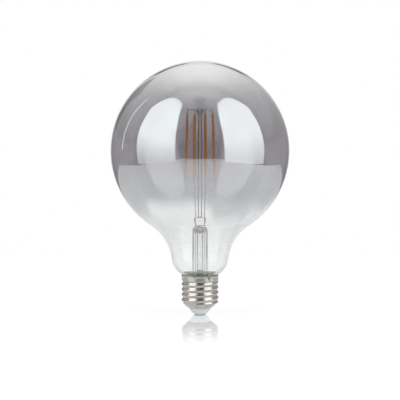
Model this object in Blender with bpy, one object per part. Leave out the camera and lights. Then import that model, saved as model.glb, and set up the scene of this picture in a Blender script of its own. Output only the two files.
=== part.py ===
"""Globe filament lamp on an Edison screw cap, in metres, +Z up.

The origin is the middle of the centre contact's flat face, and the lamp stands on its axis above it.
A blown globe is closed by a glass stem. The stem carries a glass rod and two lead-in wires, which hold
four LED filaments. The screw cap below holds the driver.
"""

import math

import bmesh
import bpy
from mathutils import Matrix, Vector

# Blown glass envelope
GLOBE_RADIUS = 0.0625
GLASS_WALL = 0.0008
WAIST_RADIUS = 0.0197
NECK_SWEEP_RADIUS = 0.033
SHOULDER_RADIUS = 0.014
WAIST_TILT = math.radians(6)
NECK_CLEARANCE = 0.0012
NECK_ENTRY_FILLET = 0.0016
NECK_DEPTH_IN_CAP = 0.0085

# Screw shell, rolled from thin sheet with the 27 mm Edison thread on both faces
THREAD_CREST_RADIUS = 0.01305
THREAD_DEPTH = 0.00092
THREAD_PITCH = 0.003629
THREAD_TURNS = 3.5
THREAD_START_ANGLE = math.radians(93)
THREAD_RUN_IN = 0.0020
THREAD_RUN_IN_DROP = 0.0011
SHELL_WALL = 0.0003
SHELL_FOOT_RADIUS = 0.0080
SHELL_CONE_HEIGHT = 0.0048
COLLAR_HEIGHT = 0.0055
COLLAR_STEP = 0.0010
RIM_FLARE = 0.0002
RIM_FLARE_HEIGHT = 0.0009

# Insulator and centre contact
CONTACT_RADIUS = 0.0039
CONTACT_THICKNESS = 0.0005
CONTACT_EDGE = 0.00015
RIVET_RADIUS = 0.0013
RIVET_HEIGHT = 0.0030
INSULATOR_HEIGHT = 0.0043
INSULATOR_FOOT_RADIUS = 0.0043
INSULATOR_BULGE = 0.0003
INSULATOR_WELL_RADIUS = 0.0030
INSULATOR_FLOOR = 0.0024

# Stem: flare, tube and pinched press in one piece of glass
STEM_RADIUS = 0.0056
STEM_WALL = 0.0011
FLARE_HEIGHT = 0.0068
STEM_TUBE_LENGTH = 0.0300
PRESS_SHOULDER = 0.0042
PRESS_HEIGHT = 0.0066
PRESS_EDGE = 0.0006
PRESS_HALF_DEPTH = 0.0021
EXHAUST_RADIUS = 0.0021
EXHAUST_WALL = 0.0006
EXHAUST_TIP_DROP = 0.0030
BLOW_HOLE_RADIUS = 0.0007

# Lead-in wires and the glass rod above the press
WIRE_RADIUS = 0.0003
LEAD_SPACING = 0.0062
LEAD_TOP_RADIUS = 0.0044
LEAD_RISE = 0.0273
ROD_RADIUS = 0.0014
BUTTON_RADIUS = 0.0022
BUTTON_HEIGHT = 0.0040
TOP_WIRE_SPACING = 0.0011

# Filaments: two strings of two, standing round the rod and leaning inwards at the top
FILAMENT_LENGTH = 0.0455
FILAMENT_WIDTH = 0.0022
FILAMENT_DEPTH = 0.0014
FILAMENT_EDGE = 0.0005
FILAMENT_TOP_RADIUS = 0.0096
FILAMENT_BOTTOM_RADIUS = 0.0113
FILAMENT_START_ANGLE = math.radians(-21.8)
TAB_LENGTH = 0.0031
TAB_WIDTH = 0.0009
TAB_THICKNESS = 0.00025
TAB_EDGE = 0.00007
TAB_REACH_PAST_WIRE = 0.0014

# Driver in the cap
BOARD_RISE = 0.0024
BOARD_THICKNESS = 0.0010
BOARD_MARGIN = 0.0010
CAPACITOR_RADIUS = 0.0030
CAPACITOR_HEIGHT = 0.0058
CAPACITOR_GROOVE = 0.0002
CAPACITOR_GROOVE_RISE = 0.0009
CHOKE_RADIUS = 0.0023
CHOKE_HEIGHT = 0.0042
CHOKE_SPOOL_RADIUS = 0.00165
CHOKE_FLANGE = 0.0007
CHIP_LENGTH = 0.0039
CHIP_WIDTH = 0.0029
CHIP_HEIGHT = 0.0014
RECTIFIER_LENGTH = 0.0044
RECTIFIER_WIDTH = 0.0032
RECTIFIER_HEIGHT = 0.0015
RESISTOR_LENGTH = 0.0030
RESISTOR_WIDTH = 0.0015
RESISTOR_HEIGHT = 0.0006
RESISTOR_EDGE = 0.00009
MOULDING_EDGE = 0.00017
FUSE_RADIUS = 0.0009
FUSE_LENGTH = 0.0022
FUSE_SHOULDER = 0.00025
SHELL_WIRE_RADIUS = 0.00022
SHELL_WIRE_ANGLE = math.radians(-59)
SHELL_WIRE_DEPTH = 0.0007

# Gaps: between pieces that seat on each other, and round a wire in its hole
SEAT_GAP = 0.00025
WIRE_CLEARANCE = 0.00022

# Facets
GLOBE_SEGMENTS = 40
THREAD_SEGMENTS = 32
ROWS_PER_PITCH = 8
TUBE_SEGMENTS = 20
SMALL_SEGMENTS = 12

# Heights that follow from the sizes above, from the contact upwards
SHELL_FOOT_Z = CONTACT_THICKNESS + INSULATOR_HEIGHT
THREAD_BOTTOM_Z = SHELL_FOOT_Z + SHELL_CONE_HEIGHT
THREAD_TOP_Z = THREAD_BOTTOM_Z + THREAD_TURNS * THREAD_PITCH
RIM_Z = THREAD_TOP_Z + COLLAR_HEIGHT
NECK_END_Z = RIM_Z - NECK_DEPTH_IN_CAP
BOARD_Z = SHELL_FOOT_Z + BOARD_RISE
BOARD_TOP_Z = BOARD_Z + BOARD_THICKNESS
FLARE_Z = NECK_END_Z + SEAT_GAP
STEM_TUBE_Z = FLARE_Z + FLARE_HEIGHT
SHOULDER_Z = STEM_TUBE_Z + STEM_TUBE_LENGTH
PRESS_Z = SHOULDER_Z + PRESS_SHOULDER
PRESS_TOP_Z = PRESS_Z + PRESS_HEIGHT
BAR_Z = PRESS_TOP_Z + LEAD_RISE
FILAMENT_BOTTOM_Z = BAR_Z + TAB_LENGTH - TAB_REACH_PAST_WIRE + SEAT_GAP
FILAMENT_TOP_Z = FILAMENT_BOTTOM_Z + FILAMENT_LENGTH
TOP_WIRE_Z = FILAMENT_TOP_Z + TAB_LENGTH - TAB_REACH_PAST_WIRE

THREAD_ROOT_RADIUS = THREAD_CREST_RADIUS - THREAD_DEPTH
NECK_TUBE_RADIUS = THREAD_ROOT_RADIUS - SHELL_WALL - NECK_CLEARANCE
LEAD_OFFSET = LEAD_SPACING / 2
CAVITY_RADIUS = STEM_RADIUS - STEM_WALL
FILAMENTS = ("filament_1", "filament_2", "filament_3", "filament_4")


def clear_scene():
    for obj in list(bpy.data.objects):
        bpy.data.objects.remove(obj, do_unlink=True)


def material(name, colour, roughness, metallic=0.0, transmission=0.0):
    made = bpy.data.materials.new(name)
    made.use_nodes = True
    shader = made.node_tree.nodes["Principled BSDF"]
    shader.inputs["Base Color"].default_value = (*colour, 1.0)
    shader.inputs["Roughness"].default_value = roughness
    shader.inputs["Metallic"].default_value = metallic
    shader.inputs["Transmission Weight"].default_value = transmission
    return made


def add_object(name, mesh, parent, finish, smooth_angle=math.radians(40)):
    """Links a mesh as one named piece of the lamp, smooth apart from its sharp edges."""
    obj = bpy.data.objects.new(name, mesh)
    bpy.context.scene.collection.objects.link(obj)
    obj.parent = parent
    if not mesh.materials:
        mesh.materials.append(finish)
        mesh.shade_smooth()
        mesh.set_sharp_from_angle(angle=smooth_angle)
    return obj


def mesh_from(bm, name):
    bmesh.ops.recalc_face_normals(bm, faces=bm.faces)
    mesh = bpy.data.meshes.new(name)
    bm.to_mesh(mesh)
    bm.free()
    return mesh


def revolved_mesh(name, profile, segments):
    """Turns a profile of (radius, height) points about the Z axis.

    A profile whose two ends lie on the axis closes there, and any other one is a closed loop.
    """
    bm = bmesh.new()
    verts = [bm.verts.new((radius, 0.0, z)) for radius, z in profile]
    edges = [bm.edges.new(pair) for pair in zip(verts, verts[1:])]
    if profile[0][0] > 0:
        edges.append(bm.edges.new((verts[-1], verts[0])))
    bmesh.ops.spin(
        bm,
        geom=verts + edges,
        cent=(0, 0, 0),
        axis=(0, 0, 1),
        angle=math.tau,
        steps=segments,
        use_merge=True,
    )
    bmesh.ops.remove_doubles(bm, verts=bm.verts, dist=1e-7)
    return mesh_from(bm, name)


def ring_mesh(name, rings, closed=False):
    """Skins a list of rings of points, which all have the same number of points.

    With closed, the last ring joins the first one, and otherwise the end rings are filled.
    """
    bm = bmesh.new()
    rows = [[bm.verts.new(point) for point in ring] for ring in rings]
    pairs = list(zip(rows, rows[1:]))
    if closed:
        pairs.append((rows[-1], rows[0]))
    for lower, upper in pairs:
        for i in range(len(lower)):
            j = (i + 1) % len(lower)
            bm.faces.new((lower[i], lower[j], upper[j], upper[i]))
    if not closed:
        bm.faces.new(rows[0])
        bm.faces.new(rows[-1])
    return mesh_from(bm, name)


def box_mesh(name, size, bevel, segments=1):
    """A block round the origin with every edge bevelled."""
    bm = bmesh.new()
    bmesh.ops.create_cube(bm, size=1.0)
    bmesh.ops.scale(bm, vec=size, verts=bm.verts)
    bmesh.ops.bevel(bm, geom=bm.edges, offset=bevel, segments=segments, profile=0.5, affect="EDGES")
    return mesh_from(bm, name)


def cylinder_cutter(name, radius, start, end, parent, segments=SMALL_SEGMENTS):
    """A hidden round cutter between two points."""
    start = Vector(start)
    along = Vector(end) - start
    bm = bmesh.new()
    bmesh.ops.create_cone(
        bm, cap_ends=True, segments=segments, radius1=radius, radius2=radius, depth=along.length
    )
    obj = bpy.data.objects.new(name, mesh_from(bm, name))
    bpy.context.scene.collection.objects.link(obj)
    obj.parent = parent
    obj.location = start + along / 2
    obj.rotation_euler = along.to_track_quat("Z", "Y").to_euler()
    obj.hide_render = True
    obj.display_type = "WIRE"
    return obj


def box_cutter(name, size, parent):
    """A hidden block round its own origin."""
    bm = bmesh.new()
    bmesh.ops.create_cube(bm, size=1.0)
    bmesh.ops.scale(bm, vec=size, verts=bm.verts)
    obj = bpy.data.objects.new(name, mesh_from(bm, name))
    bpy.context.scene.collection.objects.link(obj)
    obj.parent = parent
    obj.hide_render = True
    obj.display_type = "WIRE"
    return obj


def cut(obj, cutter):
    modifier = obj.modifiers.new(cutter.name, "BOOLEAN")
    modifier.operation = "DIFFERENCE"
    modifier.solver = "EXACT"
    modifier.object = cutter


def wire(name, points, radius, parent, finish, sides_step=2):
    """A round wire along a list of points."""
    curve = bpy.data.curves.new(name, "CURVE")
    curve.dimensions = "3D"
    curve.bevel_depth = radius
    curve.bevel_resolution = sides_step
    curve.use_fill_caps = True
    spline = curve.splines.new("POLY")
    spline.points.add(len(points) - 1)
    for point, place in zip(spline.points, points):
        point.co = (*place, 1.0)
    curve.materials.append(finish)
    obj = bpy.data.objects.new(name, curve)
    bpy.context.scene.collection.objects.link(obj)
    obj.parent = parent
    return obj


def rounded_corner(before, corner, after, reach, steps=3):
    """Points of a smooth bend that leaves the path `reach` before the corner and rejoins it after."""
    before, corner, after = Vector(before), Vector(corner), Vector(after)
    start = corner + (before - corner).normalized() * reach
    end = corner + (after - corner).normalized() * reach
    return [
        start * (1 - t) ** 2 + corner * 2 * t * (1 - t) + end * t**2
        for t in (step / steps for step in range(steps + 1))
    ]


def arc(centre, radius, start, end, steps):
    """Points on a circle in the profile plane, from one angle to another."""
    return [
        (
            centre[0] + radius * math.cos(start + (end - start) * step / steps),
            centre[1] + radius * math.sin(start + (end - start) * step / steps),
        )
        for step in range(steps + 1)
    ]


def smooth_step(value):
    value = min(max(value, 0.0), 1.0)
    return value * value * (3 - 2 * value)


def polar(radius, angle, z):
    return Vector((radius * math.cos(angle), radius * math.sin(angle), z))


def envelope_arcs():
    """The arcs that make the globe's outline, tangent to each other, as (centre, radius, start, end).

    They run from the crown down to the tube that enters the cap: the globe, the concave sweep of the
    neck, the convex shoulder, and a small fillet. Heights are set so that the fillet ends in the cap.
    """
    sweep_x = WAIST_RADIUS + NECK_SWEEP_RADIUS
    reach = GLOBE_RADIUS + NECK_SWEEP_RADIUS
    sweep_angle = math.acos(sweep_x / reach)
    sweep_drop = reach * math.sin(sweep_angle)
    span = NECK_SWEEP_RADIUS + SHOULDER_RADIUS
    shoulder_x = sweep_x - span * math.cos(WAIST_TILT)
    shoulder_drop = sweep_drop - span * math.sin(WAIST_TILT)
    fillet_x = NECK_TUBE_RADIUS + NECK_ENTRY_FILLET
    fillet_reach = SHOULDER_RADIUS + NECK_ENTRY_FILLET
    fillet_angle = math.acos((fillet_x - shoulder_x) / fillet_reach)
    fillet_drop = shoulder_drop + fillet_reach * math.sin(fillet_angle)

    # The top of the fillet stands level with the cap's rim.
    centre_z = RIM_Z + fillet_drop - NECK_ENTRY_FILLET * math.sin(fillet_angle)
    return [
        ((0.0, centre_z), GLOBE_RADIUS, math.pi / 2, -sweep_angle),
        ((sweep_x, centre_z - sweep_drop), NECK_SWEEP_RADIUS, math.pi - sweep_angle, math.pi - WAIST_TILT),
        ((shoulder_x, centre_z - shoulder_drop), SHOULDER_RADIUS, -WAIST_TILT, -fillet_angle),
        ((fillet_x, centre_z - fillet_drop), NECK_ENTRY_FILLET, math.pi - fillet_angle, math.pi),
    ]


def envelope_outline(inset):
    """The envelope's outline moved into the glass by `inset`, from the crown to the end of its neck."""
    globe, sweep, shoulder, fillet = envelope_arcs()
    points = []
    for (centre, radius, start, end), side, steps in (
        (globe, -1, 16),
        (sweep, 1, 5),
        (shoulder, -1, 5),
        (fillet, 1, 2),
    ):
        stretch = arc(centre, radius + side * inset, start, end, steps)
        points += stretch if not points else stretch[1:]
    points[0] = (0.0, points[0][1])
    return points + [(NECK_TUBE_RADIUS - inset, NECK_END_Z)]


def make_envelope(parent, finish):
    outside = envelope_outline(0.0)
    inside = envelope_outline(GLASS_WALL)
    mesh = revolved_mesh("glass_envelope", outside + inside[::-1], GLOBE_SEGMENTS)
    return add_object("glass_envelope", mesh, parent, finish)


def shell_base_radius(z):
    """Outer radius of the shell without its thread: the rounded cone, and the thread's root above it."""
    rise = min(max((z - SHELL_FOOT_Z) / SHELL_CONE_HEIGHT, 0.0), 1.0)
    return SHELL_FOOT_RADIUS + (THREAD_ROOT_RADIUS - SHELL_FOOT_RADIUS) * math.sin(rise * math.pi / 2)


def shell_radius(z, angle):
    """Outer radius of the rolled shell: the cone, the thread that runs out at both ends, and the collar."""
    turns = (z - THREAD_BOTTOM_Z) / THREAD_PITCH - (angle - THREAD_START_ANGLE) / math.tau
    depth = THREAD_DEPTH * (1 + math.cos(math.tau * turns)) / 2
    run_in = smooth_step((z - THREAD_BOTTOM_Z + THREAD_RUN_IN_DROP) / THREAD_RUN_IN)
    threaded = shell_base_radius(z) + depth * run_in
    to_collar = smooth_step((z - THREAD_TOP_Z) / COLLAR_STEP)
    flare = RIM_FLARE * smooth_step((z - RIM_Z + RIM_FLARE_HEIGHT) / RIM_FLARE_HEIGHT)
    return threaded + (THREAD_CREST_RADIUS - threaded) * to_collar + flare


def shell_inner_radius(z):
    """The inside of the shell where it has no thread, or at the thread's root."""
    return shell_base_radius(z) - SHELL_WALL


def make_shell(parent, finish):
    """One sheet of metal: rows of points go up its outside and come down its inside."""
    cone_rows = 6
    cone = [SHELL_FOOT_Z + SHELL_CONE_HEIGHT * row / cone_rows for row in range(cone_rows)]
    thread_rows = max(4, round(THREAD_TURNS * ROWS_PER_PITCH))
    thread_height = THREAD_TOP_Z - THREAD_BOTTOM_Z
    thread = [THREAD_BOTTOM_Z + thread_height * row / thread_rows for row in range(thread_rows + 1)]
    collar = [
        THREAD_TOP_Z + COLLAR_STEP / 2,
        THREAD_TOP_Z + COLLAR_STEP,
        RIM_Z - RIM_FLARE_HEIGHT,
        RIM_Z - RIM_FLARE_HEIGHT / 2,
        RIM_Z,
    ]
    heights = cone + thread + collar
    angles = [math.tau * i / THREAD_SEGMENTS for i in range(THREAD_SEGMENTS)]
    outside = [[polar(shell_radius(z, angle), angle, z) for angle in angles] for z in heights]
    inside = [
        [polar(shell_radius(z, angle) - SHELL_WALL, angle, z) for angle in angles] for z in heights
    ]
    mesh = ring_mesh("cap_shell", outside + inside[::-1], closed=True)
    return add_object("cap_shell", mesh, parent, finish)


def make_insulator(parent, finish):
    """Moulded ring that keys into the shell's cone, with a well for the fuse resistor."""
    foot_z = CONTACT_THICKNESS + SEAT_GAP
    top_z = BOARD_Z - SEAT_GAP
    key_radius = shell_inner_radius(SHELL_FOOT_Z) - SEAT_GAP
    side = []
    for share in (0.25, 0.5, 0.75):
        radius = INSULATOR_FOOT_RADIUS + (key_radius - INSULATOR_FOOT_RADIUS) * share
        bulge = INSULATOR_BULGE * math.sin(share * math.pi)
        side.append((radius + bulge, foot_z + (SHELL_FOOT_Z - foot_z) * share - bulge))
    keyed = [
        (shell_inner_radius(z) - SEAT_GAP, z)
        for z in (SHELL_FOOT_Z, (SHELL_FOOT_Z + top_z) / 2, top_z)
    ]
    hole = RIVET_RADIUS + WIRE_CLEARANCE
    profile = [
        (hole, foot_z),
        (INSULATOR_FOOT_RADIUS, foot_z),
        *side,
        *keyed,
        (INSULATOR_WELL_RADIUS, top_z),
        (INSULATOR_WELL_RADIUS, foot_z + INSULATOR_FLOOR),
        (hole, foot_z + INSULATOR_FLOOR),
    ]
    mesh = revolved_mesh("cap_insulator", profile, THREAD_SEGMENTS)
    return add_object("cap_insulator", mesh, parent, finish)


def make_contact(parent, finish):
    """Flat rivet pressed up into the insulator."""
    head_z = CONTACT_THICKNESS
    profile = [
        (0.0, 0.0),
        (CONTACT_RADIUS - CONTACT_EDGE, 0.0),
        (CONTACT_RADIUS, CONTACT_EDGE),
        (CONTACT_RADIUS, head_z),
        (RIVET_RADIUS, head_z),
        (RIVET_RADIUS, head_z + RIVET_HEIGHT),
        (0.0, head_z + RIVET_HEIGHT),
    ]
    mesh = revolved_mesh("centre_contact", profile, TUBE_SEGMENTS)
    return add_object("centre_contact", mesh, parent, finish)


def make_cement(parent, finish):
    """Ring of basing cement between the neck and the collar, parted where the shell wire comes up."""
    fillet_centre, fillet, _, _ = envelope_arcs()[3]
    inner = arc(fillet_centre, fillet - SEAT_GAP, math.pi, math.radians(125), 3)
    outer = THREAD_CREST_RADIUS - SHELL_WALL - SEAT_GAP
    low_z = min(THREAD_TOP_Z + COLLAR_STEP, fillet_centre[1] - SEAT_GAP)
    top_z = inner[-1][1]
    profile = [(inner[0][0], low_z), *inner, (outer, top_z), (outer, low_z)]
    mesh = revolved_mesh("basing_cement", profile, THREAD_SEGMENTS)
    ring = add_object("basing_cement", mesh, parent, finish)

    slot_width = 2 * (SHELL_WIRE_RADIUS + WIRE_CLEARANCE)
    slot = box_cutter("cement_slot_cutter", (2 * outer, slot_width, 2 * COLLAR_HEIGHT), parent)
    slot.location = polar(outer, SHELL_WIRE_ANGLE, RIM_Z - COLLAR_HEIGHT / 2)
    slot.rotation_euler = (0, 0, SHELL_WIRE_ANGLE)
    cut(ring, slot)
    return ring


def stem_rings():
    """Rings of the stem's outside, from the flare's edge to the top of the press."""
    neck_bore = NECK_TUBE_RADIUS - GLASS_WALL
    flare_reach = neck_bore - SEAT_GAP - STEM_RADIUS
    rings = []
    for step in range(6):
        turn = math.pi / 2 * step / 5
        radius = STEM_RADIUS + flare_reach * (1 - math.sin(turn))
        rings.append((radius, radius, FLARE_Z + FLARE_HEIGHT * (1 - math.cos(turn))))
    rings.append((STEM_RADIUS, STEM_RADIUS, SHOULDER_Z))
    half_width = LEAD_OFFSET + WIRE_RADIUS + PRESS_EDGE
    for step in range(1, 5):
        ease = smooth_step(step / 4)
        rings.append(
            (
                STEM_RADIUS + (half_width - STEM_RADIUS) * ease,
                STEM_RADIUS + (PRESS_HALF_DEPTH - STEM_RADIUS) * ease,
                SHOULDER_Z + PRESS_SHOULDER * step / 4,
            )
        )
    # The press is flat, and swells a little at its top edge: shares of its height and of the swell.
    swell = PRESS_EDGE / 2
    for height, wider, thinner in ((0.45, 0.0, 0.0), (0.75, 0.7, 0.15), (0.93, 1.0, 0.3), (1.0, 0.4, 0.9)):
        rings.append(
            (half_width + swell * wider, PRESS_HALF_DEPTH - swell * thinner, PRESS_Z + PRESS_HEIGHT * height)
        )
    return rings


def cavity_rings():
    """Rings of the stem's bore, from the closed top down to the flare's edge."""
    neck_bore = NECK_TUBE_RADIUS - GLASS_WALL
    flare_reach = neck_bore - SEAT_GAP - STEM_RADIUS
    corner = CAVITY_RADIUS - LEAD_OFFSET
    top_z = SHOULDER_Z + PRESS_SHOULDER * 0.3
    rings = []
    for step in range(4):
        turn = math.pi / 2 * step / 3
        radius = CAVITY_RADIUS - corner * (1 - math.sin(turn)) * 0.6
        rings.append((radius, top_z - corner * (1 - math.cos(turn))))
    for step in range(5, -1, -1):
        turn = math.pi / 2 * step / 5
        radius = CAVITY_RADIUS + (flare_reach - STEM_WALL / 2) * (1 - math.sin(turn))
        rings.append((radius, FLARE_Z + FLARE_HEIGHT * (1 - math.cos(turn))))
    return rings


def oval_ring(half_width, half_depth, z):
    angles = [math.tau * i / TUBE_SEGMENTS for i in range(TUBE_SEGMENTS)]
    return [Vector((half_width * math.cos(a), half_depth * math.sin(a), z)) for a in angles]


def make_stem(parent, finish):
    """The stem is skinned down its bore, over the flare's edge and up its outside, and then drilled."""
    inside = [oval_ring(radius, radius, z) for radius, z in cavity_rings()]
    outside = [oval_ring(*size) for size in stem_rings()]
    stem = add_object("stem_glass", ring_mesh("stem_glass", inside + outside), parent, finish)

    # The exhaust tube's bore runs on above the tube, and opens through the side of the press.
    seat = EXHAUST_RADIUS + WIRE_CLEARANCE
    bore = EXHAUST_RADIUS - EXHAUST_WALL
    lead_hole = WIRE_RADIUS + WIRE_CLEARANCE
    below = SHOULDER_Z - PRESS_SHOULDER
    above = PRESS_TOP_Z + PRESS_SHOULDER
    seat_top = exhaust_top_z() + SEAT_GAP
    hole_z = PRESS_Z - BLOW_HOLE_RADIUS
    ways = [
        ("exhaust_seat_cutter", seat, (0, 0, below), (0, 0, seat_top), 16),
        ("exhaust_bore_cutter", bore, (0, 0, below), (0, 0, PRESS_Z), 12),
        ("blow_hole_cutter", BLOW_HOLE_RADIUS, (0, 0, hole_z), (0, -STEM_RADIUS, hole_z), 8),
        ("lead_left_cutter", lead_hole, (-LEAD_OFFSET, 0, below), (-LEAD_OFFSET, 0, above), 10),
        ("lead_right_cutter", lead_hole, (LEAD_OFFSET, 0, below), (LEAD_OFFSET, 0, above), 10),
    ]
    for name, radius, start, end, segments in ways:
        cut(stem, cylinder_cutter(name, radius, start, end, parent, segments))
    return stem


def exhaust_top_z():
    """The exhaust tube ends halfway up the shoulder that narrows to the press."""
    return (SHOULDER_Z + PRESS_Z) / 2


def make_exhaust_tube(parent, finish):
    """Thin tube up the middle of the stem, drawn to a sealed tip below the flare."""
    tip_z = FLARE_Z - EXHAUST_TIP_DROP
    top_z = exhaust_top_z()
    bore = EXHAUST_RADIUS - EXHAUST_WALL
    outside = [
        (0.0, tip_z),
        (EXHAUST_RADIUS * 0.35, tip_z + EXHAUST_RADIUS * 0.08),
        (EXHAUST_RADIUS * 0.62, tip_z + EXHAUST_RADIUS * 0.6),
        (EXHAUST_RADIUS, tip_z + EXHAUST_RADIUS * 1.7),
        (EXHAUST_RADIUS, top_z - EXHAUST_WALL),
        (EXHAUST_RADIUS - EXHAUST_WALL * 0.3, top_z),
    ]
    inside = [
        (bore, top_z),
        (bore, tip_z + EXHAUST_RADIUS * 2),
        (0.0, tip_z + EXHAUST_RADIUS * 1.2),
    ]
    mesh = revolved_mesh("exhaust_tube", outside + inside, TUBE_SEGMENTS)
    return add_object("exhaust_tube", mesh, parent, finish)


def filament_radius(z):
    """Distance of the leaning filaments' middle line from the lamp's axis."""
    share = (z - BAR_Z) / (TOP_WIRE_Z - BAR_Z)
    return FILAMENT_BOTTOM_RADIUS + (FILAMENT_TOP_RADIUS - FILAMENT_BOTTOM_RADIUS) * share


def filament_angle(index):
    return FILAMENT_START_ANGLE + math.tau * index / len(FILAMENTS)


def top_wire_height(pair):
    return TOP_WIRE_Z + TOP_WIRE_SPACING * (0.5 - pair)


def make_rod(parent, finish):
    """Glass rod with a button at its top, through which the two top wires pass."""
    foot_z = PRESS_TOP_Z + SEAT_GAP
    button_z = TOP_WIRE_Z - BUTTON_HEIGHT / 2
    top_z = TOP_WIRE_Z + BUTTON_HEIGHT / 2
    bulge = BUTTON_RADIUS - ROD_RADIUS
    profile = [
        (0.0, foot_z),
        (ROD_RADIUS, foot_z),
        (ROD_RADIUS, button_z - bulge),
        (ROD_RADIUS + bulge * 0.6, button_z),
        (BUTTON_RADIUS, button_z + bulge),
        (BUTTON_RADIUS, top_z - bulge),
        (ROD_RADIUS + bulge * 0.4, top_z - bulge * 0.2),
        (0.0, top_z),
    ]
    mesh = revolved_mesh("support_rod", profile, TUBE_SEGMENTS)
    rod = add_object("support_rod", mesh, parent, finish)
    for pair in range(len(FILAMENTS) // 2):
        z = top_wire_height(pair)
        reach = 2 * BUTTON_RADIUS
        hole = cylinder_cutter(
            f"top_wire_{pair + 1}_cutter",
            WIRE_RADIUS + WIRE_CLEARANCE / 2,
            polar(-reach, filament_angle(pair), z),
            polar(reach, filament_angle(pair), z),
            parent,
            8,
        )
        cut(rod, hole)
    return rod


def make_top_wires(parent, finish):
    """Each top wire joins the upper tabs of two opposite filaments, which puts them in series."""
    for pair in range(len(FILAMENTS) // 2):
        z = top_wire_height(pair)
        reach = filament_radius(z) - TAB_THICKNESS / 2 - SEAT_GAP
        ends = [polar(-reach, filament_angle(pair), z), polar(reach, filament_angle(pair), z)]
        wire(f"top_wire_{pair + 1}", ends, WIRE_RADIUS, parent, finish)


def make_lead_and_bar(side, first, parent, finish):
    """A lead-in wire up from the board, and on its top a bent bar that feeds two neighbouring filaments."""
    x = LEAD_OFFSET if side == "right" else -LEAD_OFFSET
    between = (filament_angle(first) + filament_angle(first + 1)) / 2
    foot = Vector((x, 0, BOARD_Z - WIRE_RADIUS))
    bend = Vector((x, 0, PRESS_TOP_Z + WIRE_RADIUS * 4))
    top = polar(LEAD_TOP_RADIUS, between, BAR_Z - WIRE_RADIUS - SEAT_GAP)
    straight = top - Vector((0, 0, LEAD_RISE / 6))
    reach = WIRE_RADIUS * 3
    points = [foot, *rounded_corner(foot, bend, straight, reach)]
    points += [*rounded_corner(bend, straight, top, reach), top]
    wire(f"lead_wire_{side}", points, WIRE_RADIUS, parent, finish)

    end_radius = filament_radius(BAR_Z) - TAB_THICKNESS / 2 - SEAT_GAP - WIRE_RADIUS
    ends = [polar(end_radius, filament_angle(index), BAR_Z) for index in (first, first + 1)]
    middle = polar(LEAD_TOP_RADIUS - WIRE_RADIUS, between, BAR_Z)
    bar = [ends[0], *rounded_corner(ends[0], middle, ends[1], WIRE_RADIUS * 4, 4), ends[1]]
    wire(f"cross_bar_{side}", bar, WIRE_RADIUS, parent, finish)


def make_filaments(parent, phosphor, tab_finish):
    """Four coated filaments, each with a flat metal tab at either end."""
    strip = box_mesh("filament", (FILAMENT_WIDTH, FILAMENT_DEPTH, FILAMENT_LENGTH), FILAMENT_EDGE, 2)
    tab = box_mesh("filament_tab", (TAB_WIDTH, TAB_THICKNESS, TAB_LENGTH), TAB_EDGE)
    tab_step = FILAMENT_LENGTH / 2 + SEAT_GAP + TAB_LENGTH / 2
    middle_z = (FILAMENT_BOTTOM_Z + FILAMENT_TOP_Z) / 2
    for index, filament in enumerate(FILAMENTS):
        angle = filament_angle(index)
        low = polar(filament_radius(FILAMENT_BOTTOM_Z), angle, FILAMENT_BOTTOM_Z)
        high = polar(filament_radius(FILAMENT_TOP_Z), angle, FILAMENT_TOP_Z)
        along = (high - low).normalized()
        across = Vector((-math.sin(angle), math.cos(angle), 0.0))
        outwards = along.cross(across)
        turn = Matrix((across, outwards, along)).transposed().to_quaternion()
        middle = polar(filament_radius(middle_z), angle, middle_z)
        for name, mesh, offset, finish in (
            (filament, strip, 0.0, phosphor),
            (f"{filament}_top_tab", tab, tab_step, tab_finish),
            (f"{filament}_bottom_tab", tab, -tab_step, tab_finish),
        ):
            obj = add_object(name, mesh, parent, finish)
            obj.rotation_mode = "QUATERNION"
            obj.rotation_quaternion = turn
            obj.location = middle + along * offset


def shell_wire_radius():
    """The shell wire runs midway between the neck and the thread's root."""
    return (NECK_TUBE_RADIUS + THREAD_ROOT_RADIUS - SHELL_WALL) / 2


def board_edge_radius():
    return shell_inner_radius(BOARD_Z) - SEAT_GAP


def make_board(parent, finish):
    """Round driver board that drops into the shell's cone, drilled for the wires and the fuse."""
    profile = [
        (0.0, BOARD_Z),
        (board_edge_radius(), BOARD_Z),
        (board_edge_radius(), BOARD_TOP_Z),
        (0.0, BOARD_TOP_Z),
    ]
    mesh = revolved_mesh("driver_board", profile, THREAD_SEGMENTS)
    board = add_object("driver_board", mesh, parent, finish)
    drills = {
        "left": (Vector((-LEAD_OFFSET, 0, 0)), WIRE_RADIUS),
        "right": (Vector((LEAD_OFFSET, 0, 0)), WIRE_RADIUS),
        "shell": (polar(shell_wire_foot(), SHELL_WIRE_ANGLE, 0), SHELL_WIRE_RADIUS),
        "fuse": (Vector((0, 0, 0)), WIRE_RADIUS),
    }
    margin = Vector((0, 0, BOARD_THICKNESS))
    for name, (place, radius) in drills.items():
        low = place + Vector((0, 0, BOARD_Z)) - margin
        high = place + Vector((0, 0, BOARD_TOP_Z)) + margin
        cut(board, cylinder_cutter(f"board_{name}_cutter", radius + WIRE_CLEARANCE, low, high, parent, 8))
    return board


def shell_wire_foot():
    """Radius at which the shell wire stands in the board's margin."""
    return board_edge_radius() - BOARD_MARGIN


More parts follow.
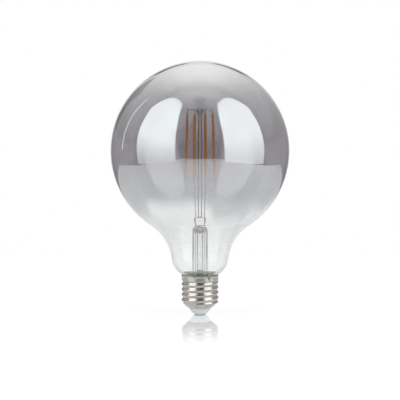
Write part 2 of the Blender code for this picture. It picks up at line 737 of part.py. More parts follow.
def make_driver(parent, finishes):
    """Components that stand round the edge of the board, and the fuse resistor under it."""
    deck = BOARD_TOP_Z + SEAT_GAP
    groove_z = CAPACITOR_GROOVE_RISE
    groove_half = CAPACITOR_GROOVE_RISE / 3
    can = revolved_mesh(
        "driver_capacitor",
        [
            (0.0, 0.0),
            (CAPACITOR_RADIUS, 0.0),
            (CAPACITOR_RADIUS, groove_z - groove_half),
            (CAPACITOR_RADIUS - CAPACITOR_GROOVE, groove_z),
            (CAPACITOR_RADIUS, groove_z + groove_half),
            (CAPACITOR_RADIUS, CAPACITOR_HEIGHT - CAPACITOR_GROOVE),
            (CAPACITOR_RADIUS - CAPACITOR_GROOVE, CAPACITOR_HEIGHT),
            (0.0, CAPACITOR_HEIGHT),
        ],
        TUBE_SEGMENTS,
    )
    choke = revolved_mesh(
        "driver_choke",
        [
            (0.0, 0.0),
            (CHOKE_RADIUS, 0.0),
            (CHOKE_RADIUS, CHOKE_FLANGE),
            (CHOKE_SPOOL_RADIUS, CHOKE_FLANGE),
            (CHOKE_SPOOL_RADIUS, CHOKE_HEIGHT - CHOKE_FLANGE),
            (CHOKE_RADIUS, CHOKE_HEIGHT - CHOKE_FLANGE),
            (CHOKE_RADIUS, CHOKE_HEIGHT),
            (0.0, CHOKE_HEIGHT),
        ],
        TUBE_SEGMENTS,
    )
    chip = box_mesh("driver_chip", (CHIP_WIDTH, CHIP_LENGTH, CHIP_HEIGHT), MOULDING_EDGE)
    rectifier = box_mesh(
        "driver_rectifier", (RECTIFIER_WIDTH, RECTIFIER_LENGTH, RECTIFIER_HEIGHT), MOULDING_EDGE
    )
    resistor = box_mesh(
        "driver_resistor", (RESISTOR_WIDTH, RESISTOR_LENGTH, RESISTOR_HEIGHT), RESISTOR_EDGE
    )
    for name, mesh, degrees, reach, lift, finish in (
        ("driver_capacitor", can, 90, CAPACITOR_RADIUS, 0.0, "sleeve"),
        ("driver_choke", choke, -92, CHOKE_RADIUS, 0.0, "ferrite"),
        ("driver_chip", chip, 10, CHIP_WIDTH / 2, CHIP_HEIGHT / 2, "moulding"),
        ("driver_rectifier", rectifier, 165, RECTIFIER_WIDTH / 2, RECTIFIER_HEIGHT / 2, "moulding"),
        ("driver_resistor", resistor, -143, RESISTOR_WIDTH / 2, RESISTOR_HEIGHT / 2, "resistor"),
    ):
        angle = math.radians(degrees)
        obj = add_object(name, mesh, parent, finishes[finish])
        obj.location = polar(board_edge_radius() - BOARD_MARGIN - reach, angle, deck + lift)
        obj.rotation_euler = (0, 0, angle)

    rivet_top = CONTACT_THICKNESS + RIVET_HEIGHT
    body_z = rivet_top + (BOARD_Z - rivet_top - FUSE_LENGTH) / 2
    end_radius = FUSE_RADIUS - FUSE_SHOULDER
    fuse = revolved_mesh(
        "fuse_resistor",
        [
            (0.0, rivet_top + SEAT_GAP),
            (WIRE_RADIUS, rivet_top + SEAT_GAP),
            (WIRE_RADIUS, body_z),
            (end_radius, body_z),
            (FUSE_RADIUS, body_z + FUSE_SHOULDER),
            (FUSE_RADIUS, body_z + FUSE_LENGTH - FUSE_SHOULDER),
            (end_radius, body_z + FUSE_LENGTH),
            (WIRE_RADIUS, body_z + FUSE_LENGTH),
            (WIRE_RADIUS, BOARD_TOP_Z),
            (0.0, BOARD_TOP_Z),
        ],
        SMALL_SEGMENTS,
    )
    add_object("fuse_resistor", fuse, parent, finishes["resistor"])


def make_shell_wire(parent, finish):
    """Wire from the board up beside the neck, pressed between the cement's slot and the collar."""
    collar_radius = THREAD_CREST_RADIUS - SHELL_WALL - SEAT_GAP - SHELL_WIRE_RADIUS
    joggle = (RIM_Z - THREAD_TOP_Z - COLLAR_STEP) / 2
    foot = polar(shell_wire_foot(), SHELL_WIRE_ANGLE, BOARD_Z - SHELL_WIRE_RADIUS)
    clear = polar(shell_wire_foot(), SHELL_WIRE_ANGLE, BOARD_TOP_Z + BOARD_THICKNESS)
    beside = polar(shell_wire_radius(), SHELL_WIRE_ANGLE, NECK_END_Z)
    collar_foot = polar(shell_wire_radius(), SHELL_WIRE_ANGLE, THREAD_TOP_Z + COLLAR_STEP)
    pressed = polar(collar_radius, SHELL_WIRE_ANGLE, THREAD_TOP_Z + COLLAR_STEP + joggle)
    end = polar(collar_radius, SHELL_WIRE_ANGLE, RIM_Z - SHELL_WIRE_DEPTH)
    points = [foot, clear, beside, collar_foot, pressed, end]
    wire("shell_wire", points, SHELL_WIRE_RADIUS, parent, finish)


def main():
    clear_scene()
    lamp = bpy.data.objects.new("lamp", None)
    bpy.context.scene.collection.objects.link(lamp)

    smoked = material("smoked_glass", (0.48, 0.46, 0.49), 0.02, transmission=0.9)
    clear = material("clear_glass", (0.95, 0.97, 0.97), 0.02, transmission=1.0)
    nickel = material("nickel_plate", (0.78, 0.75, 0.71), 0.22, metallic=1.0)
    bright_wire = material("nickel_wire", (0.62, 0.61, 0.60), 0.30, metallic=1.0)
    copper = material("tinned_copper", (0.72, 0.60, 0.50), 0.35, metallic=1.0)
    phosphor = material("phosphor", (0.82, 0.42, 0.14), 0.55)
    tab_steel = material("tab_steel", (0.52, 0.51, 0.50), 0.35, metallic=1.0)
    insulator = material("insulator_glass", (0.80, 0.86, 0.86), 0.18)
    contact = material("contact_metal", (0.45, 0.46, 0.47), 0.35, metallic=1.0)
    cement = material("cement", (0.62, 0.62, 0.46), 0.85)
    board = material("board_laminate", (0.10, 0.30, 0.16), 0.45)
    driver_finishes = {
        "sleeve": material("capacitor_sleeve", (0.05, 0.05, 0.07), 0.35),
        "ferrite": material("ferrite", (0.12, 0.11, 0.11), 0.60),
        "moulding": material("chip_moulding", (0.03, 0.03, 0.03), 0.50),
        "resistor": material("resistor_coat", (0.42, 0.55, 0.62), 0.45),
    }

    make_envelope(lamp, smoked)
    make_stem(lamp, clear)
    make_exhaust_tube(lamp, clear)
    make_rod(lamp, clear)
    make_lead_and_bar("right", 0, lamp, bright_wire)
    make_lead_and_bar("left", 2, lamp, bright_wire)
    make_top_wires(lamp, bright_wire)
    make_filaments(lamp, phosphor, tab_steel)
    make_shell(lamp, nickel)
    make_insulator(lamp, insulator)
    make_contact(lamp, contact)
    make_cement(lamp, cement)
    make_board(lamp, board)
    make_driver(lamp, driver_finishes)
    make_shell_wire(lamp, copper)


main()
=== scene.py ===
from math import acos, atan2, copysign, cos, pi, radians, remainder, sin, sqrt, tau

import bmesh
import bpy
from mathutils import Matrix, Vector, noise


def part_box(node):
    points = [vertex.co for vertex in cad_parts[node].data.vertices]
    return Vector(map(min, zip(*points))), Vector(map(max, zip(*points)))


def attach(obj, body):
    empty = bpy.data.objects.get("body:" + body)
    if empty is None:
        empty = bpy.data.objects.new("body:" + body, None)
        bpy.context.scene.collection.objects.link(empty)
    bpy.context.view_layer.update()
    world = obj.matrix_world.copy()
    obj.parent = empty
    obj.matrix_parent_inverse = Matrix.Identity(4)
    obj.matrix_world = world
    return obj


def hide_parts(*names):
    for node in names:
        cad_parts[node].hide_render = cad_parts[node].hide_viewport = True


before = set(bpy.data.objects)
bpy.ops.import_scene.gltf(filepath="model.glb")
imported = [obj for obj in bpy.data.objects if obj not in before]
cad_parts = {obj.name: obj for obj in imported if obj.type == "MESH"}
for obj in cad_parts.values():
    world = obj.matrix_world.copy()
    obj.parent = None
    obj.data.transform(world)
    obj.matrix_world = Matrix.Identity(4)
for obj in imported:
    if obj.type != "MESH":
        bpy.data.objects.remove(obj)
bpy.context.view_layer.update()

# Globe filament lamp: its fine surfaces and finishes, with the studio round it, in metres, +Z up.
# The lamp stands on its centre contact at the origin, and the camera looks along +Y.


def foot_and_top(node):
    return [corner.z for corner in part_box(node)]


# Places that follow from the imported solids
SHELL_FOOT_Z, RIM_Z = foot_and_top("cap_shell")
NECK_END_Z, GLOBE_TOP_Z = foot_and_top("glass_envelope")
FLARE_Z, PRESS_TOP_Z = foot_and_top("stem_glass")
EXHAUST_TIP_Z = foot_and_top("exhaust_tube")[0]
BUTTON_TOP_Z = foot_and_top("support_rod")[1]
BOARD_Z = foot_and_top("driver_board")[0]
CAPACITOR_TOP_Z = foot_and_top("driver_capacitor")[1]
BAR_Z = sum(foot_and_top("cross_bar_left")) / 2

# Blown envelope
GLOBE_RADIUS = 0.0625
GLASS_WALL = 0.0008
WAIST_RADIUS = 0.0197
NECK_SWEEP_RADIUS = 0.033
SHOULDER_RADIUS = 0.014
WAIST_TILT = radians(6)
NECK_ENTRY_FILLET = 0.0016
NECK_TUBE_RADIUS = 0.01063
GLOBE_CENTRE_Z = GLOBE_TOP_Z - GLOBE_RADIUS

# Screw shell
THREAD_CREST_RADIUS = 0.01305
THREAD_DEPTH = 0.00092
THREAD_ROOT_RADIUS = THREAD_CREST_RADIUS - THREAD_DEPTH
THREAD_PITCH = 0.003629
THREAD_START_ANGLE = radians(93)
THREAD_RUN_IN = 0.0020
SHELL_WALL = 0.0003
SHELL_FOOT_RADIUS = 0.0080
SHELL_CONE_HEIGHT = 0.0048
COLLAR_HEIGHT = 0.0055
COLLAR_STEP = 0.0010
COLLAR_TAPER = 0.00012
RIM_FLARE = 0.0002
RIM_FLARE_HEIGHT = 0.0009
THREAD_BOTTOM_Z = SHELL_FOOT_Z + SHELL_CONE_HEIGHT

# The fine thread runs on a little past the solid's, at both ends
THREAD_FINE_TOP_Z = RIM_Z - COLLAR_HEIGHT + 0.0014
THREAD_FINE_RUN_IN_DROP = 0.0023

# Notch punched into the collar's edge, over the wire to the shell
NOTCH_ANGLE = radians(-58.5)
NOTCH_HEIGHT = 0.0034
NOTCH_LEFT_WIDTH = 0.0022
NOTCH_RIGHT_WIDTH = 0.0014
NOTCH_DEPTH = 0.0014

# Insulator and centre contact
CONTACT_RADIUS = 0.0039
CONTACT_THICKNESS = 0.0005
CONTACT_EDGE = 0.00015
CONTACT_DISH_RADIUS = 0.0011
CONTACT_DISH_DEPTH = 0.00012
INSULATOR_FOOT_RADIUS = 0.0043
INSULATOR_BULGE = 0.0003
INSULATOR_EDGE = 0.0004

# Stem, exhaust tube and rod
STEM_RADIUS = 0.0056
STEM_WALL = 0.0011
FLARE_HEIGHT = 0.0068
PRESS_HEIGHT = 0.0066
PRESS_SHOULDER = 0.0042
PRESS_HALF_WIDTH = 0.0040
PRESS_WAIST = 0.0035
PRESS_HALF_DEPTH = 0.0021
PRESS_SWELL = 0.0003
EXHAUST_RADIUS = 0.0021
EXHAUST_WALL = 0.0006
EXHAUST_BORE = EXHAUST_RADIUS - EXHAUST_WALL
BLOW_HOLE_RADIUS = 0.0007
ROD_RADIUS = 0.0014
ROD_FILLET = 0.0006
ROD_FILLET_HEIGHT = 0.0012
BUTTON_RADIUS = 0.0022
BUTTON_HEIGHT = 0.0040
BUTTON_EDGE = 0.0009
PRESS_Z = PRESS_TOP_Z - PRESS_HEIGHT
SHOULDER_Z = PRESS_Z - PRESS_SHOULDER
STEM_CEILING_Z = SHOULDER_Z + PRESS_SHOULDER * 0.3

# Wires and filaments
WIRE_RADIUS = 0.0003
LEAD_OFFSET = 0.0031
LEAD_TOP_RADIUS = 0.0044
TAB_THICKNESS = 0.00025
FILAMENT_LENGTH = 0.0455
FILAMENT_WIDTH = 0.0022
FILAMENT_DEPTH = 0.0014
FILAMENT_END = 0.0009
FILAMENT_TOP_RADIUS = 0.0096
FILAMENT_BOTTOM_RADIUS = 0.0113
TOP_WIRE_SPACING = 0.0011
TOP_WIRE_Z = BUTTON_TOP_Z - BUTTON_HEIGHT / 2
FILAMENTS = ("filament_1", "filament_2", "filament_3", "filament_4")
FILAMENT_MIDDLES = [sum(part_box(name), Vector((0, 0, 0))) / 2 for name in FILAMENTS]
FILAMENT_ANGLES = [atan2(middle.y, middle.x) for middle in FILAMENT_MIDDLES]

# The smoke on the glass: full above one height, a thin tail below another, with an uneven edge
SMOKE_FULL_Z = 0.0780
SMOKE_END_Z = 0.0655
SMOKE_TAIL_Z = 0.030
SMOKE_TAIL = 0.20
SMOKE_VEIL = 0.15
SMOKE_WANDER = 0.011
SMOKE_RISE = 0.013
SMOKE_RISE_ANGLE = radians(-108)
SMOKE_SIDE_RISE = 0.009
SMOKE_SIDE_ANGLE = radians(-29)
SMOKE_COLOUR = (0.262, 0.212, 0.25)
SMOKE_MIRROR = 0.30
SMOKE_MIRROR_COLOUR = (0.90, 0.965, 0.96)

# Studio: a white table, two tall softboxes, a strip light and a dim room that glows from above and behind
TABLE_HALF_WIDTH = 0.51
TABLE_FRONT_Y = -1.24
TABLE_BACK_Y = 0.31
SOFTBOX_AZIMUTH = radians(67)
SOFTBOX_DISTANCE = 0.60
SOFTBOX_STRENGTH = 2.0
SOFTBOX_FOOT_Z = -0.014
STRIP_AZIMUTH = radians(117)
STRIP_STRENGTH = 2.0
STRIP_REACH = 2.6
STRIP_HALF_WIDTH = 0.022
STRIP_FOOT_Z = 0.05
STRIP_TOP_Z = 2.9
STRIP_LEAN = 0.92
ROOM_RADIUS = 3.2
ROOM_LEVEL = 1.76
BACKDROP_HALF_ANGLE = radians(17)
AMBIENT = 0.34

# The room's glow by degrees over the lamp, from the camera's side (0) over the top (90) to the back (180)
GLOW_OVER = (
    ((0, 0.004), (33, 0.006), (47, 0.03), (58, 0.08), (66, 0.17), (79, 0.42), (92, 0.53), (107, 0.84))
    + ((120, 0.95), (142, 0.90), (158, 0.60), (168, 0.48), (180, 0.32), (195, 0.24))
)
# The same glow by its reach to either side
GLOW_ACROSS = (
    ((0.0, 1.0), (0.14, 0.97), (0.26, 0.86), (0.32, 0.77), (0.40, 0.68), (0.52, 0.47))
    + ((0.60, 0.34), (0.70, 0.24), (0.80, 0.19), (0.90, 0.13), (1.0, 0.05))
)

# Camera
CAMERA_DISTANCE = 1.6
CAMERA_ELEVATION = radians(6.2)
VIEW_CENTRE_Z = 0.0807
FOCAL_LENGTH_MM = 206.2

WHITE = (1.0, 1.0, 1.0)


def polar(radius, angle, z):
    return Vector((radius * cos(angle), radius * sin(angle), z))


def once_round(sides):
    return [tau * i / sides for i in range(sides)]


def shares(steps):
    """Even steps from 0 to 1."""
    return [step / steps for step in range(steps + 1)]


def lerp(start, end, share):
    return start + (end - start) * share


def limited(value):
    return min(max(value, 0.0), 1.0)


def smooth_step(value):
    value = limited(value)
    return value * value * (3 - 2 * value)


def arc(x, z, radius, start, end, steps):
    """Points on a circle in the profile plane, from one angle to another."""
    angles = [lerp(start, end, share) for share in shares(steps)]
    return [(x + radius * cos(a), z + radius * sin(a)) for a in angles]


def up(z):
    return Vector((0, 0, z))


def oval(half_width, half_depth, z, sides):
    return [Vector((half_width * cos(a), half_depth * sin(a), z)) for a in once_round(sides)]


def mesh_from(bm, name):
    mesh = bpy.data.meshes.new(name)
    bm.to_mesh(mesh)
    bm.free()
    return mesh


def skin(name, rings, looped=False, capped=False):
    """Joins rings of points into a surface, whose faces follow the order of the rings."""
    bm = bmesh.new()
    rows = [[bm.verts.new(point) for point in ring] for ring in rings]
    pairs = list(zip(rows, rows[1:]))
    if looped:
        pairs.append((rows[-1], rows[0]))
    for low, high in pairs:
        count = max(len(low), len(high))
        for i in range(count):
            j = (i + 1) % count
            corners = (low[i % len(low)], low[j % len(low)], high[j % len(high)], high[i % len(high)])
            bm.faces.new(dict.fromkeys(corners))
    if capped:
        bm.faces.new(rows[0])
        bm.faces.new(rows[-1])
    bmesh.ops.recalc_face_normals(bm, faces=bm.faces)
    return mesh_from(bm, name)


def turned_rings(outline, sides):
    """Rings for an outline of (radius, height) points. On the axis a ring is one point."""
    return [oval(r, r, z, sides) if r > 1e-9 else [up(z)] for r, z in outline]


def turned(name, outline, sides):
    return skin(name, turned_rings(outline, sides))


def link(name, data):
    made = bpy.data.objects.new(name, data)
    bpy.context.scene.collection.objects.link(made)
    return made


def add_piece(mesh, finish, slot, *nodes, smooth_angle=35):
    """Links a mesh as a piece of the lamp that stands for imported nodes."""
    mesh.materials.append(finish)
    mesh.shade_smooth()
    mesh.set_sharp_from_angle(angle=radians(smooth_angle))
    piece = link(mesh.name, mesh)
    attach(piece, "root")
    if nodes:
        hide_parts(*nodes)
    return piece


def rounded_path(points, reach, steps=8):
    """The path through points, with smooth bends for corners."""
    points = [Vector(point) for point in points]
    path = [points[0]]
    for before, corner, after in zip(points, points[1:], points[2:]):
        start = corner + (before - corner).normalized() * reach
        end = corner + (after - corner).normalized() * reach
        path += [start * (1 - t) ** 2 + corner * 2 * t * (1 - t) + end * t**2 for t in shares(steps)]
    return path + [points[-1]]


def tube_mesh(name, path, radius, sides=16):
    """A round wire with domed ends. Its radius may be a function of the share of the path."""
    radius_at = radius if callable(radius) else lambda share: radius
    last = len(path) - 1
    tangents = [(path[min(i + 1, last)] - path[max(i - 1, 0)]).normalized() for i in range(last + 1)]
    across = tangents[0].orthogonal().normalized()
    rings = []
    for i, (point, tangent) in enumerate(zip(path, tangents)):
        across = (across - tangent * across.dot(tangent)).normalized()
        beside = tangent.cross(across)
        r = radius_at(i / last)
        rings.append([point + across * (r * cos(a)) + beside * (r * sin(a)) for a in once_round(sides)])
    for end, tangent, r in ((0, -tangents[0], radius_at(0)), (-1, tangents[-1], radius_at(1))):
        centre = path[end]
        shoulder = [centre + (p - centre) * 0.75 + tangent * r * 0.3 for p in rings[end]]
        dome = [shoulder, [centre + tangent * r * 0.45]]
        rings = dome[::-1] + rings if end == 0 else rings + dome
    return skin(name, rings)


class Finish:
    """A material in the making, or the world, from nodes."""

    def __init__(self, name, kind="Material"):
        self.kind = kind
        self.block = bpy.data.worlds.new(name) if kind == "World" else bpy.data.materials.new(name)
        self.block.use_nodes = True
        self.tree = self.block.node_tree
        self.tree.nodes.clear()
        self.place = self.node("TexCoord").outputs["Object"]

    def node(self, kind, inputs=None, **settings):
        """Adds a node, whose inputs are linked to sockets or set to plain values."""
        made = self.tree.nodes.new("ShaderNode" + kind)
        for key, value in settings.items():
            setattr(made, key, value)
        for key, value in (inputs or {}).items():
            socket = made.inputs[key]
            if isinstance(value, bpy.types.NodeSocket):
                self.tree.links.new(value, socket)
            else:
                socket.default_value = (*value, 1.0) if socket.type == "RGBA" else value
        return made

    def math(self, operation, first, second=0.0, clamp=False):
        return self.node("Math", {0: first, 1: second}, operation=operation, use_clamp=clamp).outputs[0]

    def times(self, first, second):
        return self.math("MULTIPLY", first, second)

    def plus(self, first, second):
        return self.math("ADD", first, second)

    def minus(self, first, second):
        return self.math("SUBTRACT", first, second)

    def vector(self, operation, first, second=(0.0, 0.0, 0.0), key=1):
        return self.node("VectorMath", {0: first, key: second}, operation=operation).outputs[0]

    def measure(self, operation, first, second=(0.0, 0.0, 0.0)):
        """A number from vectors: a length, a distance or a dot product."""
        return self.node("VectorMath", {0: first, 1: second}, operation=operation).outputs["Value"]

    def parts(self, vector=None):
        """The x, y and z of a vector, or of the place on the piece."""
        return tuple(self.node("SeparateXYZ", {0: vector or self.place}).outputs)

    def height(self):
        return self.parts()[2]

    def joined(self, x, y):
        return self.node("CombineXYZ", {0: x, 1: y, 2: 0.0}).outputs[0]

    def spread(self, value, low, high, to_low=0.0, to_high=1.0, kind="SMOOTHSTEP"):
        """Maps a value from one range to another and stops at its ends."""
        inputs = {0: value, 1: low, 2: high, 3: to_low, 4: to_high}
        return self.node("MapRange", inputs, interpolation_type=kind).outputs["Result"]

    def broken(self, grain, low, high):
        """A level that a grain breaks up."""
        return self.spread(grain, 0.3, 0.7, low, high)

    def ramp(self, value, stops):
        """Colours between stops, each a position and a colour."""
        made = self.node("ValToRGB", {0: value})
        elements = made.color_ramp.elements
        while len(elements) < len(stops):
            elements.new(0.5)
        for element, (position, *colour) in zip(elements, stops):
            element.position = position
            element.color = (*colour, 1.0)
        return made.outputs["Color"]

    def noise(self, scale, detail=3.0, place=None):
        inputs = {"Vector": place or self.place, "Scale": scale, "Detail": detail}
        return self.node("TexNoise", inputs).outputs["Fac"]

    def cells(self, scale, **settings):
        inputs = {"Vector": self.place, "Scale": scale}
        return self.node("TexVoronoi", inputs, **settings).outputs["Distance"]

    def stretched(self, x, y, z):
        """The place scaled along each axis, for streaks."""
        return self.vector("MULTIPLY", self.place, (x, y, z))

    def round_the_axis(self, turns, rise):
        """Coordinates that run round the lamp's axis and up it, joined at the back."""
        x, y, z = self.parts()
        angle = self.math("ARCTAN2", x, self.times(y, -1.0))
        return self.joined(self.times(angle, turns), self.times(z, rise))

    def mix(self, share, first, second):
        return self.node("Mix", {0: share, 6: first, 7: second}, data_type="RGBA").outputs[2]

    def bump(self, height, strength, distance):
        inputs = {"Height": height, "Strength": strength, "Distance": distance}
        return self.node("Bump", inputs).outputs["Normal"]

    def ray(self, kind):
        return self.node("LightPath").outputs[kind]

    def light(self, strength, colour=WHITE):
        return self.node("Emission", {"Color": colour, "Strength": strength}).outputs[0]

    def clear(self, colour=WHITE):
        return self.node("BsdfTransparent", {"Color": colour}).outputs[0]

    def layered(self, share, under, over):
        return self.node("MixShader", {0: share, 1: under, 2: over}).outputs[0]

    def principled(self, colour, roughness, **inputs):
        named = {key.replace("_", " "): value for key, value in inputs.items()}
        named |= {"Base Color": colour, "Roughness": roughness}
        return self.node("BsdfPrincipled", named).outputs["BSDF"]

    def done(self, surface):
        self.tree.links.new(surface, self.node(f"Output{self.kind}").inputs["Surface"])
        return self.block

    def surface(self, colour, roughness, **inputs):
        return self.done(self.principled(colour, roughness, **inputs))

    def metal(self, colour, roughness, **inputs):
        return self.surface(colour, roughness, Metallic=1.0, **inputs)

    def glass(self, glass, tint):
        """Lets light through to what is behind the glass, tinted by what the glass takes away."""
        return self.done(self.layered(self.ray("Is Shadow Ray"), glass, self.clear(tint)))

    def edge_shade(self, low, high):
        """Painted shade, rising where the surface turns away, as the way through the glass grows."""
        return self.spread(self.node("LayerWeight", {"Blend": 0.5}).outputs["Facing"], low, high)


def smoke_share(mat):
    """Share of the full coating. Its lower edge wanders, and stands higher in front and on one side."""
    wander = mat.minus(mat.noise(16, 2), 0.5)
    streaks = mat.minus(mat.noise(1, 3, mat.stretched(70.0, 70.0, 22.0)), 0.5)
    uneven = mat.plus(wander, mat.times(streaks, 0.35))
    x, y, z = mat.parts()
    outwards = mat.vector("NORMALIZE", mat.joined(x, y))
    towards = mat.measure("DOT_PRODUCT", outwards, polar(1.0, SMOKE_RISE_ANGLE, 0.0))
    beside = mat.measure("DOT_PRODUCT", outwards, polar(1.0, SMOKE_SIDE_ANGLE, 0.0))
    front_rise = mat.spread(towards, 0.84, 0.956, 0.0, -SMOKE_RISE)
    side_rise = mat.spread(beside, 0.93, 0.985, 0.0, -SMOKE_SIDE_RISE)
    height = mat.plus(z, mat.times(uneven, SMOKE_WANDER))
    height = mat.plus(height, mat.plus(front_rise, side_rise))
    body = mat.spread(height, SMOKE_END_Z, SMOKE_FULL_Z, 0.0, 1.0 - SMOKE_TAIL)
    tail = mat.spread(height, SMOKE_TAIL_Z, SMOKE_END_Z, SMOKE_VEIL, SMOKE_TAIL)
    return mat.plus(body, tail), tail


def smoked_glass():
    """Blown glass with a smoke coating that is partly a mirror and fades out above the neck."""
    mat = Finish("smoked_glass_coated")
    smoke, tail = smoke_share(mat)
    body = mat.minus(smoke, tail)
    # Painted shade where the clear glass below the smoke turns away from the view
    edge = mat.times(mat.edge_shade(0.55, 0.96), mat.minus(1.0, smoke))
    clear = mat.mix(edge, mat.mix(tail, WHITE, (0.28, 0.30, 0.30)), (0.60, 0.605, 0.61))
    marks = mat.spread(mat.noise(240, 4), 0.62, 0.9, 0.0, 0.02)
    glass = mat.principled(mat.mix(body, clear, SMOKE_COLOUR), marks, IOR=1.47, Transmission_Weight=1.0)
    silver = mat.mix(mat.noise(40), (0.88, 0.95, 0.95), SMOKE_MIRROR_COLOUR)
    mirror = mat.principled(silver, marks, Metallic=1.0)
    coated = mat.layered(mat.times(smoke, SMOKE_MIRROR), glass, mirror)
    return mat.glass(coated, mat.mix(smoke, (0.95, 0.96, 0.96), (0.42, 0.39, 0.425)))


def clear_glass(name, edge_shade_colour, low=0.25, high=0.85, pressed_above=None):
    """Clear glass with painted shade where its walls turn away, and faint marks of drawing."""
    mat = Finish(name)
    clear = mat.mix(mat.noise(60), WHITE, (0.985, 0.995, 0.99))
    # Less painted shade where the surface faces up or down
    upright = mat.parts(mat.node("TexCoord").outputs["Normal"])[2]
    level = mat.spread(mat.math("ABSOLUTE", upright), 0.5, 0.95, 1.0, 0.2)
    edge = mat.times(mat.edge_shade(low, high), level)
    relief = {}
    if pressed_above:
        pressed = mat.spread(mat.height(), pressed_above, pressed_above + 0.0008)
        relief["Normal"] = mat.bump(mat.times(mat.noise(420, 1), pressed), 0.9, 0.0008)
    colour = mat.mix(edge, clear, edge_shade_colour)
    marks = mat.spread(mat.noise(320, 4), 0.66, 0.95, 0.0, 0.02)
    glass = mat.principled(colour, marks, IOR=1.5, Transmission_Weight=1.0, **relief)
    return mat.glass(glass, (0.95, 0.96, 0.96))


def nickel_plate():
    """Rolled sheet, nickel plated: streaks run round it, with dull patches and small dents."""
    mat = Finish("nickel_plate_rolled")
    streaks = mat.noise(1, 4, mat.round_the_axis(2.5, 2600.0))
    dents = mat.noise(1, 2, mat.round_the_axis(5.0, 420.0))
    tone = mat.plus(mat.times(streaks, 0.5), mat.times(mat.noise(190, 4), 0.5))
    return mat.metal(
        mat.mix(mat.spread(tone, 0.35, 0.65), (0.53, 0.505, 0.47), (0.67, 0.64, 0.605)),
        mat.broken(mat.noise(2200, 2), 0.18, 0.27),
        Normal=mat.bump(mat.plus(streaks, mat.times(dents, 2.5)), 0.45, 0.00003),
    )


def drawn_wire(name, dark, light, roughness=0.3):
    """Drawn wire: fine lines along it and a little tarnish."""
    mat = Finish(name)
    tarnish = mat.noise(900)
    lines = mat.noise(1, 2, mat.stretched(9000.0, 9000.0, 300.0))
    return mat.metal(
        mat.mix(tarnish, dark, light),
        mat.broken(tarnish, roughness - 0.06, roughness + 0.08),
        Normal=mat.bump(lines, 0.3, 0.00001),
    )


def lead_wire_finish():
    """Three wires in line: nickel above the press, red copper-clad in it, tinned below."""
    mat = Finish("lead_wire_three_metals")
    height = mat.height()
    tarnish = mat.noise(900)
    nickel = mat.mix(tarnish, (0.50, 0.49, 0.48), (0.68, 0.67, 0.66))
    clad = mat.mix(tarnish, (0.36, 0.24, 0.20), (0.52, 0.38, 0.33))
    tinned = mat.mix(tarnish, (0.62, 0.60, 0.57), (0.74, 0.72, 0.69))
    top = mat.spread(height, PRESS_TOP_Z + 0.0002, PRESS_TOP_Z + 0.0006)
    foot = mat.spread(height, SHOULDER_Z - 0.0006, SHOULDER_Z - 0.0002)
    return mat.metal(mat.mix(top, mat.mix(foot, tinned, clad), nickel), mat.broken(tarnish, 0.24, 0.38))


def tab_steel():
    mat = Finish("tab_steel_stamped")
    grain = mat.noise(1400)
    return mat.metal(
        mat.mix(grain, (0.40, 0.39, 0.375), (0.60, 0.59, 0.575)),
        mat.broken(grain, 0.30, 0.46),
        Normal=mat.bump(grain, 0.4, 0.00001),
    )


def phosphor():
    """Silicone filled with phosphor: matt orange, with a row of chips just showing."""
    mat = Finish("phosphor_silicone")
    chip_pitch = 0.0016
    phase = mat.times(mat.height(), tau / chip_pitch)
    chips = mat.spread(mat.math("SINE", phase), 0.1, 0.9)
    grain = mat.noise(2600)
    coat = mat.mix(mat.noise(260, 2), (0.74, 0.30, 0.085), (0.88, 0.44, 0.15))
    speckled = mat.mix(mat.times(grain, 0.35), coat, (0.95, 0.62, 0.28))
    return mat.surface(
        mat.mix(mat.times(chips, 0.22), speckled, (0.97, 0.66, 0.26)),
        mat.spread(grain, 0.2, 0.8, 0.42, 0.62),
        Subsurface_Weight=0.15,
        Subsurface_Scale=0.0006,
        Normal=mat.bump(mat.plus(mat.times(chips, 0.4), grain), 0.5, 0.00003),
    )


def insulator_finish():
    """Pale moulded plastic, glossy, a touch greener on one side of its flow."""
    mat = Finish("insulator_moulded")
    rings = mat.noise(1, 2, mat.round_the_axis(1.5, 1500.0))
    return mat.surface(
        mat.mix(mat.noise(120), (0.88, 0.955, 0.95), (0.93, 0.98, 0.985)),
        mat.broken(rings, 0.14, 0.24),
        Subsurface_Weight=0.2,
        Subsurface_Scale=0.002,
        Coat_Weight=0.3,
        Normal=mat.bump(rings, 0.3, 0.00002),
    )


def contact_finish():
    """Stamped contact: turned rings and the fine scratches of a lampholder's spring."""
    mat = Finish("contact_stamped")
    x, y, _ = mat.parts()
    rings = mat.math("SINE", mat.times(mat.measure("LENGTH", mat.joined(x, y)), 24000.0))
    grain = mat.noise(1700, 4)
    return mat.metal(
        mat.mix(grain, (0.34, 0.345, 0.35), (0.56, 0.565, 0.57)),
        mat.broken(grain, 0.28, 0.42),
        Normal=mat.bump(mat.plus(rings, grain), 0.25, 0.00001),
    )


def cement_finish():
    """Basing cement: set paste with grains and pores, greenish where the resin has run."""
    mat = Finish("cement_set")
    grains = mat.noise(1500, 5)
    greenish = mat.mix(grains, (0.44, 0.455, 0.32), (0.57, 0.575, 0.43))
    greyish = mat.mix(grains, (0.56, 0.56, 0.49), (0.69, 0.69, 0.62))
    pores = mat.spread(mat.cells(900), 0.1, 0.35)
    return mat.surface(
        mat.mix(mat.spread(mat.noise(150), 0.35, 0.65), greenish, greyish),
        mat.spread(grains, 0.2, 0.8, 0.7, 0.95),
        Normal=mat.bump(mat.plus(grains, pores), 0.6, 0.0001),
    )


def grained(name, dark, light, roughness, scale):
    """For small driver parts: two close tones, broken gloss and a fine grain."""
    mat = Finish(name)
    grain = mat.noise(scale, 4)
    return mat.surface(
        mat.mix(mat.noise(scale / 6), dark, light),
        mat.broken(grain, roughness - 0.08, roughness + 0.08),
        Normal=mat.bump(grain, 0.4, 0.00002),
    )


